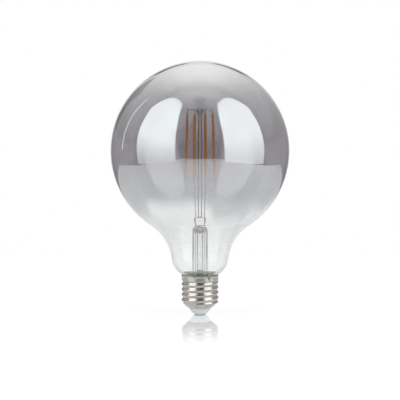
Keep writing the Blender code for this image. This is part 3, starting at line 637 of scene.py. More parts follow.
def board_finish():
    """Green laminate with copper tracks under the lacquer."""
    mat = Finish("board_tracked")
    tracks = mat.spread(mat.cells(420, distance="MANHATTAN", feature="F1"), 0.40, 0.46)
    weave = mat.noise(2500, 2)
    laminate = mat.mix(weave, (0.045, 0.17, 0.075), (0.07, 0.24, 0.11))
    return mat.surface(
        mat.mix(tracks, laminate, (0.13, 0.36, 0.17)),
        mat.broken(weave, 0.25, 0.4),
        Coat_Weight=0.4,
        Normal=mat.bump(mat.plus(tracks, mat.times(weave, 0.3)), 0.4, 0.00003),
    )


def capacitor_finish():
    """Dark shrunk sleeve with a bare aluminium top."""
    mat = Finish("capacitor_sleeve_and_top")
    top = mat.spread(mat.height(), CAPACITOR_TOP_Z - 0.00025, CAPACITOR_TOP_Z - 0.00015)
    grain = mat.noise(1300)
    sleeve = mat.mix(grain, (0.022, 0.022, 0.035), (0.04, 0.04, 0.06))
    return mat.surface(
        mat.mix(top, sleeve, (0.78, 0.78, 0.79)),
        mat.broken(grain, 0.26, 0.40),
        Metallic=top,
        Normal=mat.bump(grain, 0.3, 0.00002),
    )


def choke_finish():
    """Ferrite flanges with enamelled copper wire wound between them."""
    mat = Finish("choke_wound")
    low, high = foot_and_top("driver_choke")
    flange = 0.0007
    wire_pitch = 0.0002
    height = mat.height()
    above = mat.spread(height, low + flange, low + flange + 0.0001)
    below = mat.spread(height, high - flange - 0.0001, high - flange, 1.0, 0.0)
    wound = mat.times(above, below)
    turns = mat.math("SINE", mat.times(height, tau / wire_pitch))
    grain = mat.noise(1500, 4)
    ferrite = mat.mix(grain, (0.05, 0.047, 0.046), (0.10, 0.095, 0.09))
    return mat.surface(
        mat.mix(wound, ferrite, (0.62, 0.24, 0.11)),
        mat.broken(grain, 0.35, 0.6),
        Metallic=mat.times(wound, 0.8),
        Normal=mat.bump(mat.times(turns, wound), 0.7, 0.00006),
    )


def envelope_arcs():
    """The arcs of the globe's outline from its crown down, as (x, z, radius, start, end)."""
    sweep_x = WAIST_RADIUS + NECK_SWEEP_RADIUS
    reach = GLOBE_RADIUS + NECK_SWEEP_RADIUS
    sweep_angle = acos(sweep_x / reach)
    sweep_drop = reach * sin(sweep_angle)
    span = NECK_SWEEP_RADIUS + SHOULDER_RADIUS
    shoulder_x = sweep_x - span * cos(WAIST_TILT)
    shoulder_drop = sweep_drop - span * sin(WAIST_TILT)
    fillet_x = NECK_TUBE_RADIUS + NECK_ENTRY_FILLET
    fillet_reach = SHOULDER_RADIUS + NECK_ENTRY_FILLET
    fillet_angle = acos((fillet_x - shoulder_x) / fillet_reach)
    fillet_drop = shoulder_drop + fillet_reach * sin(fillet_angle)
    z = GLOBE_CENTRE_Z
    return [
        (0.0, z, GLOBE_RADIUS, pi / 2, -sweep_angle),
        (sweep_x, z - sweep_drop, NECK_SWEEP_RADIUS, pi - sweep_angle, pi - WAIST_TILT),
        (shoulder_x, z - shoulder_drop, SHOULDER_RADIUS, -WAIST_TILT, -fillet_angle),
        (fillet_x, z - fillet_drop, NECK_ENTRY_FILLET, pi - fillet_angle, pi),
    ]


def envelope_outline(inset):
    points = []
    # Globe, sweep, shoulder and fillet: the inset makes the first and third smaller
    for (x, z, radius, start, end), side, steps in zip(envelope_arcs(), (-1, 1, -1, 1), (66, 22, 14, 6)):
        stretch = arc(x, z, radius + side * inset, start, end, steps)
        points += stretch[1:] if points else stretch
    points[0] = (0.0, points[0][1])
    return points + [(NECK_TUBE_RADIUS - inset, NECK_END_Z)]


def make_envelope():
    """Both faces of the blown wall: the coated outside, and the clear inside."""
    sides = 144
    outside = envelope_outline(0.0)
    inside = envelope_outline(GLASS_WALL)
    mesh = turned("envelope_blown", outside + inside[::-1], sides)
    add_piece(mesh, smoked_glass(), "smoked_glass", "glass_envelope")
    # The inner face has painted shade where it turns away from the view
    mesh.materials.append(clear_glass("envelope_inner_face", (0.66, 0.665, 0.67), 0.55, 0.96))
    outer_faces = (len(outside) - 1) * sides
    for face in mesh.polygons:
        face.material_index = 0 if face.index < outer_faces else 1


def shell_base_radius(z):
    rise = limited((z - SHELL_FOOT_Z) / SHELL_CONE_HEIGHT)
    return lerp(SHELL_FOOT_RADIUS, THREAD_ROOT_RADIUS, sin(rise * pi / 2))


def notch_depth(z, angle):
    """How far the V-shaped notch is pressed in. It runs out to a point below the rim."""
    share = (z - RIM_Z + NOTCH_HEIGHT) / NOTCH_HEIGHT
    across = remainder(angle - NOTCH_ANGLE, tau) * THREAD_CREST_RADIUS
    width = (NOTCH_LEFT_WIDTH if across < 0 else NOTCH_RIGHT_WIDTH) * share
    if share <= 0 or abs(across) >= width:
        return 0.0
    return NOTCH_DEPTH * min(1.0, share * 1.5) * (1 - abs(across) / width)


def shell_radius(z, angle):
    """Outer radius of the rolled shell: cone, thread that runs out at both ends, and collar."""
    turns = (z - THREAD_BOTTOM_Z) / THREAD_PITCH - (angle - THREAD_START_ANGLE) / tau
    depth = THREAD_DEPTH * (1 + cos(tau * turns)) / 2
    run_in = smooth_step((z - THREAD_BOTTOM_Z + THREAD_FINE_RUN_IN_DROP) / THREAD_RUN_IN)
    threaded = shell_base_radius(z) + depth * run_in
    to_collar = smooth_step((z - THREAD_FINE_TOP_Z) / COLLAR_STEP)
    up_collar = limited((z - THREAD_FINE_TOP_Z) / (RIM_Z - THREAD_FINE_TOP_Z))
    collar = THREAD_CREST_RADIUS - COLLAR_TAPER * up_collar
    flare = RIM_FLARE * smooth_step((z - RIM_Z + RIM_FLARE_HEIGHT) / RIM_FLARE_HEIGHT)
    return lerp(threaded, collar, to_collar) + flare - notch_depth(z, angle)


def make_shell():
    """One sheet of metal, with a rounded lip at its foot and at its rim."""
    angles = once_round(240)
    lip = SHELL_WALL / 2
    foot, rim = SHELL_FOOT_Z + lip, RIM_Z - lip
    heights = [lerp(foot, rim, share) for share in shares(128)]
    lip_turns = [pi / 4, pi / 2, pi * 3 / 4]

    def ring(z, inset=0.0, rise=0.0):
        return [polar(shell_radius(z, a) - inset, a, z + rise) for a in angles]

    outside = [ring(z) for z in heights]
    inside = [ring(z, SHELL_WALL) for z in heights]
    rim_lip = [ring(rim, lip * (1 - cos(turn)), lip * sin(turn)) for turn in lip_turns]
    foot_lip = [ring(foot, lip * (1 - cos(turn)), -lip * sin(turn)) for turn in lip_turns[::-1]]
    mesh = skin("cap_shell_rolled", outside + rim_lip + inside[::-1] + foot_lip, looped=True)
    add_piece(mesh, nickel_plate(), "nickel_plate", "cap_shell", smooth_angle=50)


def make_insulator():
    """The moulded cone below the shell, with soft edges and the step that keys into the shell."""
    foot_z = CONTACT_THICKNESS
    board_gap = 0.0005
    wall_gap = 0.00025
    top_z = BOARD_Z - board_gap
    key_radius = SHELL_FOOT_RADIUS - SHELL_WALL
    edge = INSULATOR_EDGE
    profile = [
        (0.0, foot_z),
        (INSULATOR_FOOT_RADIUS - edge, foot_z),
        (INSULATOR_FOOT_RADIUS - edge * 0.3, foot_z + edge * 0.12),
    ]
    for share in shares(14)[1:-1]:
        radius = lerp(INSULATOR_FOOT_RADIUS, key_radius, share)
        bulge = INSULATOR_BULGE * sin(share * pi)
        profile.append((radius + bulge, lerp(foot_z, SHELL_FOOT_Z, share) - bulge * 0.6))
    profile += [
        (key_radius - 0.00002, SHELL_FOOT_Z + 0.0001),
        (shell_base_radius(top_z) - SHELL_WALL - wall_gap, top_z),
        (0.0, top_z),
    ]
    mesh = turned("cap_insulator_moulded", profile, 96)
    add_piece(mesh, insulator_finish(), "insulator", "cap_insulator")


def make_contact():
    """The stamped contact, with a rolled edge and the small dish of its rivet."""
    dish = [(CONTACT_DISH_RADIUS * sin(s * pi / 2), CONTACT_DISH_DEPTH * cos(s * pi / 2)) for s in shares(6)]
    corner = CONTACT_RADIUS - CONTACT_EDGE
    edge = arc(corner, CONTACT_EDGE, CONTACT_EDGE, -pi / 2, 0.0, 5)
    shoulder = arc(corner, CONTACT_THICKNESS - CONTACT_EDGE, CONTACT_EDGE, 0.0, pi / 2, 5)
    mesh = turned("centre_contact_stamped", [*dish, *edge, *shoulder, (0.0, CONTACT_THICKNESS)], 72)
    add_piece(mesh, contact_finish(), "contact_metal", "centre_contact")


def make_cement():
    """The paste stands unevenly between the neck and the collar."""
    gap = 0.00005
    fillet_x, fillet_z, fillet, _, _ = envelope_arcs()[3]
    outer = THREAD_CREST_RADIUS - COLLAR_TAPER - SHELL_WALL - gap
    low_z = THREAD_FINE_TOP_Z + COLLAR_STEP
    inner_arc = arc(fillet_x, fillet_z, fillet - gap, pi, radians(118), 8)
    inner, arc_top_z = inner_arc[-1]
    rings = []
    for angle in once_round(160):
        swell = noise.fractal(polar(0.9, angle, 0.0) * 4.0, 0.6, 2.0, 3) * 0.00035
        top_z = arc_top_z + swell - 0.0003
        wall = outer - notch_depth(RIM_Z, angle)
        sags = ((0.25, 0.0001), (0.5, -0.0001), (0.75, -0.0005), (1.0, -0.0010))
        crown = [(lerp(inner, wall, share), top_z + sag) for share, sag in sags]
        section = [(inner_arc[0][0], low_z), *inner_arc, *crown, (wall, low_z)]
        rings.append([polar(r, angle, z) for r, z in section])
    mesh = skin("basing_cement_set", rings, looped=True)
    add_piece(mesh, cement_finish(), "cement", "basing_cement", smooth_angle=60)


def paint_bore(mesh, bore_glass):
    """Gives the faces that look at the lamp's axis a clearer glass: one with lighter painted edge shade."""
    mesh.materials.append(bore_glass)
    for face in mesh.polygons:
        if face.normal.x * face.center.x + face.normal.y * face.center.y < -1e-7:
            face.material_index = 1


def stem_outside(flare_reach, flare_turns):
    """Half width, half depth and height of each outer ring, from the flare's edge up."""
    rings = []
    for turn in flare_turns:
        radius = STEM_RADIUS + flare_reach * (1 - sin(turn))
        rings.append((radius, radius, FLARE_Z + FLARE_HEIGHT * (1 - cos(turn))))
    rings.append((STEM_RADIUS, STEM_RADIUS, SHOULDER_Z))
    for share in shares(12)[1:]:
        ease = 1 - sqrt(1 - share**2.2)
        width = lerp(STEM_RADIUS, PRESS_WAIST, ease)
        depth = lerp(STEM_RADIUS, PRESS_HALF_DEPTH + 0.0002, ease)
        rings.append((width, depth, SHOULDER_Z + PRESS_SHOULDER * share))
    # The press by its share of the height, with how much wider and how much thinner it is there
    for height, wider, thinner in (
        ((0.08, -1.5, -0.2), (0.20, -1.5, 0.0), (0.34, -1.1, 0.3), (0.48, -0.4, 0.4), (0.62, 0.4, 0.2))
        + ((0.76, 0.9, 0.0), (0.87, 1.0, 0.1), (0.95, 0.5, 0.7), (0.99, -0.5, 1.6), (1.00, -2.2, 3.2))
    ):
        width = PRESS_HALF_WIDTH + PRESS_SWELL * wider
        rings.append((width, PRESS_HALF_DEPTH - PRESS_SWELL * thinner, PRESS_Z + PRESS_HEIGHT * height))
    return rings


def make_stem(glass, bore_glass):
    """Flare, tube and press in one piece, with the exhaust way through its shoulder."""
    sides = 72
    flare_reach = NECK_TUBE_RADIUS - GLASS_WALL - STEM_RADIUS - 0.00004
    flare_turns = [pi / 2 * share for share in shares(16)]
    outer_rings = [oval(*size, sides) for size in stem_outside(flare_reach, flare_turns)]
    cavity_radius = STEM_RADIUS - STEM_WALL
    vault = (cavity_radius - EXHAUST_RADIUS - 0.0001) / 2
    inside = [(0.0, STEM_CEILING_Z)]
    for share in shares(12):
        turn = pi * (1 - share)
        rise = vault * sin(turn) - 0.0012 * share**2
        inside.append((cavity_radius - vault + vault * cos(turn), STEM_CEILING_Z + rise))
    for turn in flare_turns[::-1]:
        radius = cavity_radius + (flare_reach - STEM_WALL * 0.3) * (1 - sin(turn))
        inside.append((radius, FLARE_Z + FLARE_HEIGHT * (1 - cos(turn)) + 0.00002))
    mesh = skin("stem_blown", turned_rings(inside, sides) + outer_rings + [[up(PRESS_TOP_Z)]])
    stem = add_piece(mesh, glass, "clear_glass", "stem_glass")

    def way_radius(share):
        return lerp(EXHAUST_BORE, BLOW_HOLE_RADIUS, smooth_step(share * 1.6))

    hole_z = PRESS_Z - BLOW_HOLE_RADIUS
    route = [(0, 0, STEM_CEILING_Z - 0.001), (0, 0, hole_z), (0, -STEM_RADIUS * 1.4, hole_z + 0.0006)]
    path = rounded_path(route, EXHAUST_BORE * 1.2, 10)
    way = link("exhaust_way", tube_mesh("exhaust_way", path, way_radius, 32))
    drill = stem.modifiers.new("exhaust_way", "BOOLEAN")
    drill.operation = "DIFFERENCE"
    drill.solver = "EXACT"
    drill.object = way
    whole = stem.data
    graph = bpy.context.evaluated_depsgraph_get()
    stem.data = bpy.data.meshes.new_from_object(stem.evaluated_get(graph))
    stem.modifiers.clear()
    bpy.data.meshes.remove(whole)
    stem.data.name = "stem_blown"
    bpy.data.objects.remove(way)
    paint_bore(stem.data, bore_glass)
    stem.data.set_sharp_from_angle(angle=radians(35))


def make_exhaust_tube(glass, bore_glass):
    """Thin tube up the stem to the ceiling of its bore, drawn to a sealed tip at its foot."""
    tip_z = EXHAUST_TIP_Z
    top_z = STEM_CEILING_Z - 0.00003
    drawn = EXHAUST_RADIUS * 2.2
    outside = [(0.0, tip_z)]
    inside = [(0.0, tip_z + drawn * 0.75)]
    for share in shares(14)[1:]:
        widening = sin(share * pi / 2)
        outside.append((EXHAUST_RADIUS * widening**0.8, tip_z + drawn * share**1.6))
        inside.append((EXHAUST_BORE * widening, tip_z + drawn * (0.75 + 0.6 * share**1.5)))
    lip = EXHAUST_WALL / 2
    crown = arc(EXHAUST_RADIUS - lip, top_z - lip, lip, 0.0, pi, 6)
    mesh = turned("exhaust_tube_drawn", outside + crown + inside[::-1], 48)
    add_piece(mesh, glass, "clear_glass", "exhaust_tube")
    paint_bore(mesh, bore_glass)


def make_rod(glass):
    """Glass rod fused to the press, with a squashed button at its top that holds the wires."""
    foot_z = PRESS_TOP_Z - 0.0001
    bulge = BUTTON_RADIUS - ROD_RADIUS
    rod_end_z = BUTTON_TOP_Z - BUTTON_HEIGHT - bulge
    profile = [(0.0, foot_z)]
    profile += [(ROD_RADIUS + ROD_FILLET * (1 - s) ** 2, foot_z + ROD_FILLET_HEIGHT * s) for s in shares(5)]
    profile += [(ROD_RADIUS, lerp(PRESS_TOP_Z, rod_end_z, s)) for s in (0.25, 0.5, 0.75)]
    profile += [(ROD_RADIUS + bulge * smooth_step(s), rod_end_z + 2 * bulge * s) for s in shares(10)]
    profile += arc(BUTTON_RADIUS - BUTTON_EDGE, BUTTON_TOP_Z - BUTTON_EDGE, BUTTON_EDGE, 0.0, pi / 2, 8)
    mesh = turned("support_rod_drawn", [*profile, (0.0, BUTTON_TOP_Z)], 40)
    add_piece(mesh, glass, "clear_glass", "support_rod")


def filament_radius(z):
    """Distance of the leaning filaments' middle line from the lamp's axis."""
    return lerp(FILAMENT_BOTTOM_RADIUS, FILAMENT_TOP_RADIUS, (z - BAR_Z) / (TOP_WIRE_Z - BAR_Z))


def make_filament(index, finish):
    """A moulded strip with a round back, softly lumpy, that narrows at both ends."""
    angle = FILAMENT_ANGLES[index]
    lean = (FILAMENT_TOP_RADIUS - FILAMENT_BOTTOM_RADIUS) / (TOP_WIRE_Z - BAR_Z)
    along = polar(lean, angle, 1.0).normalized()
    across = Vector((-sin(angle), cos(angle), 0.0))
    outwards = along.cross(across)
    rings = []
    for share in shares(90):
        from_end = min(share, 1 - share) * FILAMENT_LENGTH
        taper = sqrt(max(0.0, 1 - (1 - min(from_end / FILAMENT_END, 1.0)) ** 2)) * 0.55 + 0.45
        centre = FILAMENT_MIDDLES[index] + along * (share - 0.5) * FILAMENT_LENGTH
        ring = []
        for turn in once_round(28):
            x = copysign(abs(cos(turn)) ** 0.75, cos(turn)) * FILAMENT_WIDTH / 2
            y = copysign(abs(sin(turn)) ** 0.85, sin(turn)) * FILAMENT_DEPTH / 2
            lump = noise.noise(Vector((x * 900, y * 900, centre.z * 420 + index * 7.0)))
            size = taper * (0.975 + 0.025 * lump)
            ring.append(centre + across * x * size + outwards * y * size)
        rings.append(ring)
    name = FILAMENTS[index]
    add_piece(skin(f"{name}_moulded", rings, capped=True), finish, "phosphor", name, smooth_angle=50)


def weld_bead(name, centre, axis, size, finish):
    """A small pressed and fused spot between a wire and a tab."""
    side = axis.orthogonal().normalized()
    other = axis.cross(side)
    rings = [[centre - axis * (size * 0.55)]]
    for turn in (pi * share for share in shares(8)[1:-1]):
        ring = []
        for around in once_round(14):
            direction = side * cos(around) + other * sin(around)
            lump = 1 + 0.16 * noise.noise((centre + direction * size) * 2600)
            ring.append(centre + direction * (size * sin(turn)) * lump + axis * (size * 0.55 * -cos(turn)))
        rings.append(ring)
    rings.append([centre + axis * (size * 0.55)])
    add_piece(skin(name, rings), finish, "nickel_wire", smooth_angle=80)


def add_wire(node, ending, path, finish):
    add_piece(tube_mesh(f"{node}_{ending}", path, WIRE_RADIUS), finish, "nickel_wire", node)


def make_wires_and_welds(wire_finish, weld_finish):
    """Leads, bent bars, top wires through the button, and the spot welds."""
    lead_finish = lead_wire_finish()
    for side, first, x in (("right", 0, LEAD_OFFSET), ("left", 2, -LEAD_OFFSET)):
        angles = FILAMENT_ANGLES[first : first + 2]
        facing = (polar(1, angles[0], 0) + polar(1, angles[1], 0)).normalized()
        between = atan2(facing.y, facing.x)
        foot_z, top_z = foot_and_top(f"lead_wire_{side}")
        bend = (x, 0, PRESS_TOP_Z + WIRE_RADIUS * 4)
        top = polar(LEAD_TOP_RADIUS, between, top_z)
        straight = top - up((top_z - PRESS_TOP_Z) / 6)
        path = rounded_path([(x, 0, foot_z), bend, straight, top], WIRE_RADIUS * 4)
        add_wire(f"lead_wire_{side}", "drawn", path, lead_finish)

        end_radius = filament_radius(BAR_Z) - TAB_THICKNESS / 2 - WIRE_RADIUS
        ends = [polar(end_radius, angle, BAR_Z) for angle in angles]
        middle = polar(LEAD_TOP_RADIUS - WIRE_RADIUS, between, BAR_Z)
        path = rounded_path([ends[0], middle, ends[1]], WIRE_RADIUS * 5, 12)
        add_wire(f"cross_bar_{side}", "bent", path, wire_finish)
        joint = polar(LEAD_TOP_RADIUS - WIRE_RADIUS * 0.5, between, BAR_Z - WIRE_RADIUS)
        weld_bead(f"cross_bar_{side}_weld", joint, up(1), WIRE_RADIUS * 1.7, weld_finish)

    top_heights = [TOP_WIRE_Z + TOP_WIRE_SPACING * (0.5 - pair) for pair in range(2)]
    for pair, z in enumerate(top_heights):
        reach = filament_radius(z) - TAB_THICKNESS / 2
        path = [polar(reach * (2 * share - 1), FILAMENT_ANGLES[pair], z) for share in shares(20)]
        add_wire(f"top_wire_{pair + 1}", "drawn", path, wire_finish)

    for index, (name, angle) in enumerate(zip(FILAMENTS, FILAMENT_ANGLES)):
        for end, z in (("top", top_heights[index % 2]), ("bottom", BAR_Z)):
            spot = polar(filament_radius(z) - TAB_THICKNESS / 2 - WIRE_RADIUS * 0.5, angle, z)
            outwards = polar(1, angle, 0).normalized()
            weld_bead(f"{name}_{end}_weld", spot, outwards, WIRE_RADIUS * 1.5, weld_finish)


def paint_packed_nodes():
    """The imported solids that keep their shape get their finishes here."""
    moulding = grained("chip_moulding_matt", (0.018, 0.018, 0.018), (0.035, 0.035, 0.034), 0.5, 1500.0)
    finishes = {
        "shell_wire": drawn_wire("tinned_copper_drawn", (0.66, 0.54, 0.44), (0.78, 0.72, 0.66)),
        "driver_board": board_finish(),
        "driver_capacitor": capacitor_finish(),
        "driver_choke": choke_finish(),
        "driver_chip": moulding,
        "driver_rectifier": moulding,
        "driver_resistor": grained("resistor_glazed", (0.03, 0.03, 0.035), (0.07, 0.07, 0.075), 0.3, 900.0),
        "fuse_resistor": grained("fuse_lacquer", (0.30, 0.44, 0.52), (0.42, 0.56, 0.62), 0.35, 1200.0),
    }
    tab_finish = tab_steel()
    finishes |= {f"{name}_{end}_tab": tab_finish for name in FILAMENTS for end in ("top", "bottom")}
    for name, finish in finishes.items():
        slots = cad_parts[name].data.materials
        slots.clear()
        slots.append(finish)


def add_to_studio(mesh, finish, *hidden_from):
    """Links a part of the studio, and hides it from some kinds of ray."""
    mesh.materials.append(finish)
    made = link(mesh.name, mesh)
    for kind in hidden_from:
        setattr(made, f"visible_{kind}", False)
    return made


def flat_mesh(name, corners):
    mesh = bpy.data.meshes.new(name)
    mesh.from_pydata(corners, [], [range(len(corners))])
    return mesh


def studio_light(mat, lit, sampling="NONE"):
    """A light that lets rays pass which came straight through glass."""
    unreflected = mat.math("LESS_THAN", mat.ray("Glossy Depth"), 0.5)
    straight = mat.times(unreflected, mat.ray("Is Transmission Ray"))
    made = mat.done(mat.layered(straight, lit, mat.clear()))
    made.cycles.emission_sampling = sampling
    return made


def softbox_finish(name, foot_share):
    """Even light that is a little weaker at the panel's foot and dies away at its edges."""
    mat = Finish(name)
    foot = mat.spread(mat.height(), -0.02, 0.34, foot_share, 1.0)
    glow = mat.node("Attribute", attribute_name="glow").outputs["Fac"]
    level = mat.times(mat.times(foot, glow), SOFTBOX_STRENGTH)
    return studio_light(mat, mat.light(level, (0.985, 1.0, 1.0)), "FRONT_BACK")


def add_softboxes():
    """Two tall panels beside the camera, with soft edges."""
    outer = ((0.39, 0.36), (0.415, 0.55), (0.47, 0.69), (0.41, 0.90), (0.34, 1.15), (0.20, 1.36))
    top = ((0.0, 1.46), (-0.28, 1.46))
    inner_heights = (1.42, 1.25, 0.95, 0.66, 0.36, SOFTBOX_FOOT_Z)
    middle_reach = -0.12
    middle_z = 0.7
    # Rings from the edge inwards, with the light at each and the light at each near the panel's top
    insets = ((0.0, 0.15, 0.05), (0.03, 0.6, 0.25), (0.07, 0.95, 0.48), (0.14, 1.0, 0.72), (0.26, 1.0, 0.92))
    for name, side, foot_share, outer_foot, inner in (
        ("softbox_left", -1, 0.45, 0.29, (-0.45, -0.55, -0.605, -0.685, -0.735, -0.785)),
        ("softbox_right", 1, 0.62, 0.345, (-0.48, -0.60, -0.70, -0.765, -0.77, -0.77)),
    ):
        facing = Vector((side * sin(SOFTBOX_AZIMUTH), -cos(SOFTBOX_AZIMUTH), 0.0)) * SOFTBOX_DISTANCE
        away = Vector((side * cos(SOFTBOX_AZIMUTH), sin(SOFTBOX_AZIMUTH), 0.0)) * SOFTBOX_DISTANCE
        outline = [(outer_foot, SOFTBOX_FOOT_Z), *outer, *top, *zip(inner, inner_heights)]
        bm = bmesh.new()
        glow = bm.verts.layers.float.new("glow")
        rings = []
        for inset, level, top_level in insets:
            ring = []
            for reach, z in outline:
                height = lerp(z, middle_z, inset * (0.15 if z < 0.1 else 1.0))
                vert = bm.verts.new(facing + away * lerp(reach, middle_reach, inset) + up(height))
                vert[glow] = lerp(level, top_level, smooth_step((z - 0.95) / 0.4))
                ring.append(vert)
            rings.append(ring)
        for wide, narrow in zip(rings, rings[1:]):
            for i in range(len(outline)):
                j = (i + 1) % len(outline)
                bm.faces.new((wide[i], wide[j], narrow[j], narrow[i]))
        bm.faces.new(rings[-1])
        add_to_studio(mesh_from(bm, name), softbox_finish(name, foot_share), "camera")


def band(mat, value, low, high):
    """One between two bounds, with soft edges."""
    above = mat.spread(value, low - 0.02, low + 0.02)
    return mat.times(above, mat.spread(value, high - 0.03, high + 0.03, 1.0, 0.0))


def uncarded(mat, x, y, z):
    """Dark cards behind the lamp draw a thin line along the globe's crown and left side."""
    over = mat.times(band(mat, mat.math("ABSOLUTE", x), 0.065, 0.24), band(mat, z, 0.12, 0.39))
    beside = mat.times(band(mat, mat.times(x, -1.0), 0.33, 0.56), band(mat, z, 0.04, 0.48))
    cards = mat.plus(mat.times(over, 0.92), mat.times(beside, 0.5))
    behind = mat.math("GREATER_THAN", y, 0.0)
    return mat.math("SUBTRACT", 1.0, mat.times(cards, behind), clamp=True)


def add_room():
    """The room in reflections: dark in front, aglow above and behind, with a white backdrop."""
    mat = Finish("room_glow")
    outwards = mat.vector("NORMALIZE", mat.place)
    x, y, z = mat.parts(outwards)
    # The ramp's seam lies 60 degrees below the back, where the table hides it
    turn = radians(60)
    along = mat.measure("DOT_PRODUCT", outwards, (0.0, -cos(turn), sin(turn)))
    above = mat.measure("DOT_PRODUCT", outwards, (0.0, sin(turn), cos(turn)))
    over = mat.spread(mat.math("ARCTAN2", above, along), -pi, pi, kind="LINEAR")
    stops = [((angle + 120) / 360, a, a * (1 - 0.012 * a), a * (1 - 0.05 * a)) for angle, a in GLOW_OVER]
    overhead = mat.ramp(over, stops)
    across = mat.math("ABSOLUTE", x)
    narrowing = mat.ramp(across, [(reach, level, level, level) for reach, level in GLOW_ACROSS])
    walls = mat.spread(across, 0.35, 0.70, 0.0, mat.spread(z, 0.02, 0.15, 0.24, 0.11))
    level = mat.times(mat.times(narrowing, uncarded(mat, x, y, z)), ROOM_LEVEL)
    glow = mat.vector("SCALE", overhead, level, "Scale")
    dim = mat.vector("SCALE", (1.0, 0.93, 0.99), walls, "Scale")
    edge = cos(BACKDROP_HALF_ANGLE)
    backdrop = mat.spread(mat.measure("DOT_PRODUCT", outwards, (0.0, 1.0, 0.0)), edge - 0.03, edge + 0.01)
    lit = mat.layered(backdrop, mat.light(1.0, mat.vector("ADD", glow, dim)), mat.light(1.0))
    bm = bmesh.new()
    bmesh.ops.create_uvsphere(bm, u_segments=64, v_segments=32, radius=ROOM_RADIUS)
    room = add_to_studio(mesh_from(bm, "room"), studio_light(mat, lit), "camera", "diffuse", "shadow")
    room.location.z = GLOBE_CENTRE_Z


def add_strip():
    """A thin bright strip that stands high on the left and leans in at its top."""
    facing = Vector((-sin(STRIP_AZIMUTH), -cos(STRIP_AZIMUTH), 0.0))
    beside = Vector((-facing.y, facing.x, 0.0)) * STRIP_HALF_WIDTH
    low = facing * STRIP_REACH + up(STRIP_FOOT_Z)
    high = facing * STRIP_REACH * STRIP_LEAN + up(STRIP_TOP_Z)
    mesh = flat_mesh("strip_light", [low - beside, low + beside, high + beside, high - beside])
    mat = Finish("strip_light")
    add_to_studio(mesh, studio_light(mat, mat.light(STRIP_STRENGTH)), "camera", "diffuse", "shadow")


def add_table():
    """A white table, polished round the lamp, and white to the camera where nothing shades it."""
    mat = Finish("table_white")
    grain = mat.noise(9)
    paint = mat.mix(grain, (0.79, 0.795, 0.80), (0.81, 0.815, 0.82))
    board = mat.principled(paint, mat.spread(grain, 0.2, 0.8, 0.75, 0.85), Specular_IOR_Level=0.0)
    seen = mat.math("MAXIMUM", mat.ray("Is Camera Ray"), mat.ray("Is Transmission Ray"))
    evened = mat.spread(mat.parts()[1], -0.3, TABLE_BACK_Y, 0.455, 0.55)
    white = mat.node("AddShader", {0: board, 1: mat.light(mat.times(seen, evened))}).outputs[0]
    away = mat.measure("LENGTH", mat.place)
    mirror = mat.principled((0.97, 0.985, 1.0), 0.02, Metallic=1.0)
    polished = mat.layered(mat.spread(away, 0.0, 0.16, 0.80, 0.0), white, mirror)
    # What reflections show of the table is painted light: painted pools of light make it paler near the
    # lights, a painted shadow makes it a little darker under the lamp, and it is a little dimmer farther out
    painted_light_near_lights = 0.0
    for spot, reach, gain in (((-0.50, -0.20, 0.0), 0.26, 0.07), ((0.50, -0.08, 0.0), 0.36, 0.26)):
        from_spot = mat.measure("DISTANCE", mat.place, spot)
        painted_light_near_lights = mat.plus(painted_light_near_lights, mat.spread(from_spot, 0.0, reach, gain, 0.0))
    painted_shadow_under_lamp = mat.spread(away, 0.04, 0.13, 0.72, 0.89)
    level = mat.plus(mat.plus(painted_shadow_under_lamp, mat.spread(away, 0.18, 0.40, 0.0, -0.07)), painted_light_near_lights)
    gloss = mat.node("Fresnel", {"IOR": 1.12}).outputs[0]
    glossy = mat.layered(gloss, mat.light(level, (0.975, 0.99, 1.0)), mirror)
    reflected = mat.math("GREATER_THAN", mat.ray("Glossy Depth"), 0.5)
    made = mat.done(mat.layered(reflected, polished, glossy))
    made.cycles.emission_sampling = "NONE"
    x = TABLE_HALF_WIDTH
    corners = [(-x, TABLE_FRONT_Y, 0), (x, TABLE_FRONT_Y, 0), (x, TABLE_BACK_Y, 0), (-x, TABLE_BACK_Y, 0)]
    add_to_studio(flat_mesh("table", corners), made)


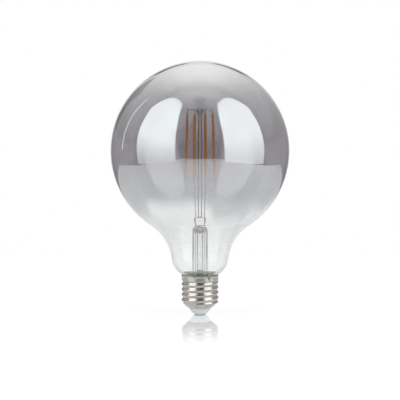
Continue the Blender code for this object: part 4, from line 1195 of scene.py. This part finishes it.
def add_world():
    """White behind everything, and a plain grey level of light on matt surfaces."""
    world = Finish("studio", "World")
    seen = world.math("MAXIMUM", world.ray("Is Camera Ray"), world.ray("Is Glossy Ray"))
    seen = world.math("MAXIMUM", seen, world.ray("Is Transmission Ray"))
    level = world.spread(seen, 0.0, 1.0, AMBIENT, 1.0, kind="LINEAR")
    made = world.done(world.node("Background", {"Color": WHITE, "Strength": level}).outputs[0])
    made.cycles.sampling_method = "NONE"
    bpy.context.scene.world = made


def add_camera():
    camera = link("camera", bpy.data.cameras.new("camera"))
    back = Vector((0, -cos(CAMERA_ELEVATION), sin(CAMERA_ELEVATION)))
    camera.location = up(VIEW_CENTRE_Z) + back * CAMERA_DISTANCE
    camera.rotation_euler = (-back).to_track_quat("-Z", "Y").to_euler()
    camera.data.lens = FOCAL_LENGTH_MM
    camera.data.sensor_width = 36.0
    camera.data.clip_start = 0.05
    bpy.context.scene.camera = camera


def set_light_bounces():
    """Light crosses up to a dozen glass faces on its way through the neck and the stem."""
    scene = bpy.context.scene
    scene.view_settings.view_transform = "Standard"
    bounces = {"max": 32, "transmission": 32, "glossy": 10, "diffuse": 4, "transparent_max": 48}
    for kind, count in bounces.items():
        setattr(scene.cycles, f"{kind}_bounces", count)


set_light_bounces()
add_camera()
add_world()
add_table()
add_softboxes()
add_room()
add_strip()

# Each clear glass gets painted shade of its given colour where it turns away; the rod's is nearly black
stem_glass = clear_glass("stem_glass_clear", (0.46, 0.47, 0.48), 0.2, 0.75, PRESS_Z)
bore_glass = clear_glass("stem_bore_clear", (0.90, 0.905, 0.91))
make_envelope()
make_stem(stem_glass, bore_glass)
make_exhaust_tube(stem_glass, bore_glass)
make_rod(clear_glass("rod_glass_clear", (0.04, 0.04, 0.045), 0.05, 0.35))
phosphor_finish = phosphor()
for filament in range(len(FILAMENTS)):
    make_filament(filament, phosphor_finish)
make_wires_and_welds(
    drawn_wire("nickel_wire_drawn", (0.50, 0.49, 0.48), (0.68, 0.67, 0.66)),
    drawn_wire("weld_nickel", (0.38, 0.36, 0.34), (0.58, 0.56, 0.54), 0.42),
)
make_shell()
make_insulator()
make_contact()
make_cement()
paint_packed_nodes()
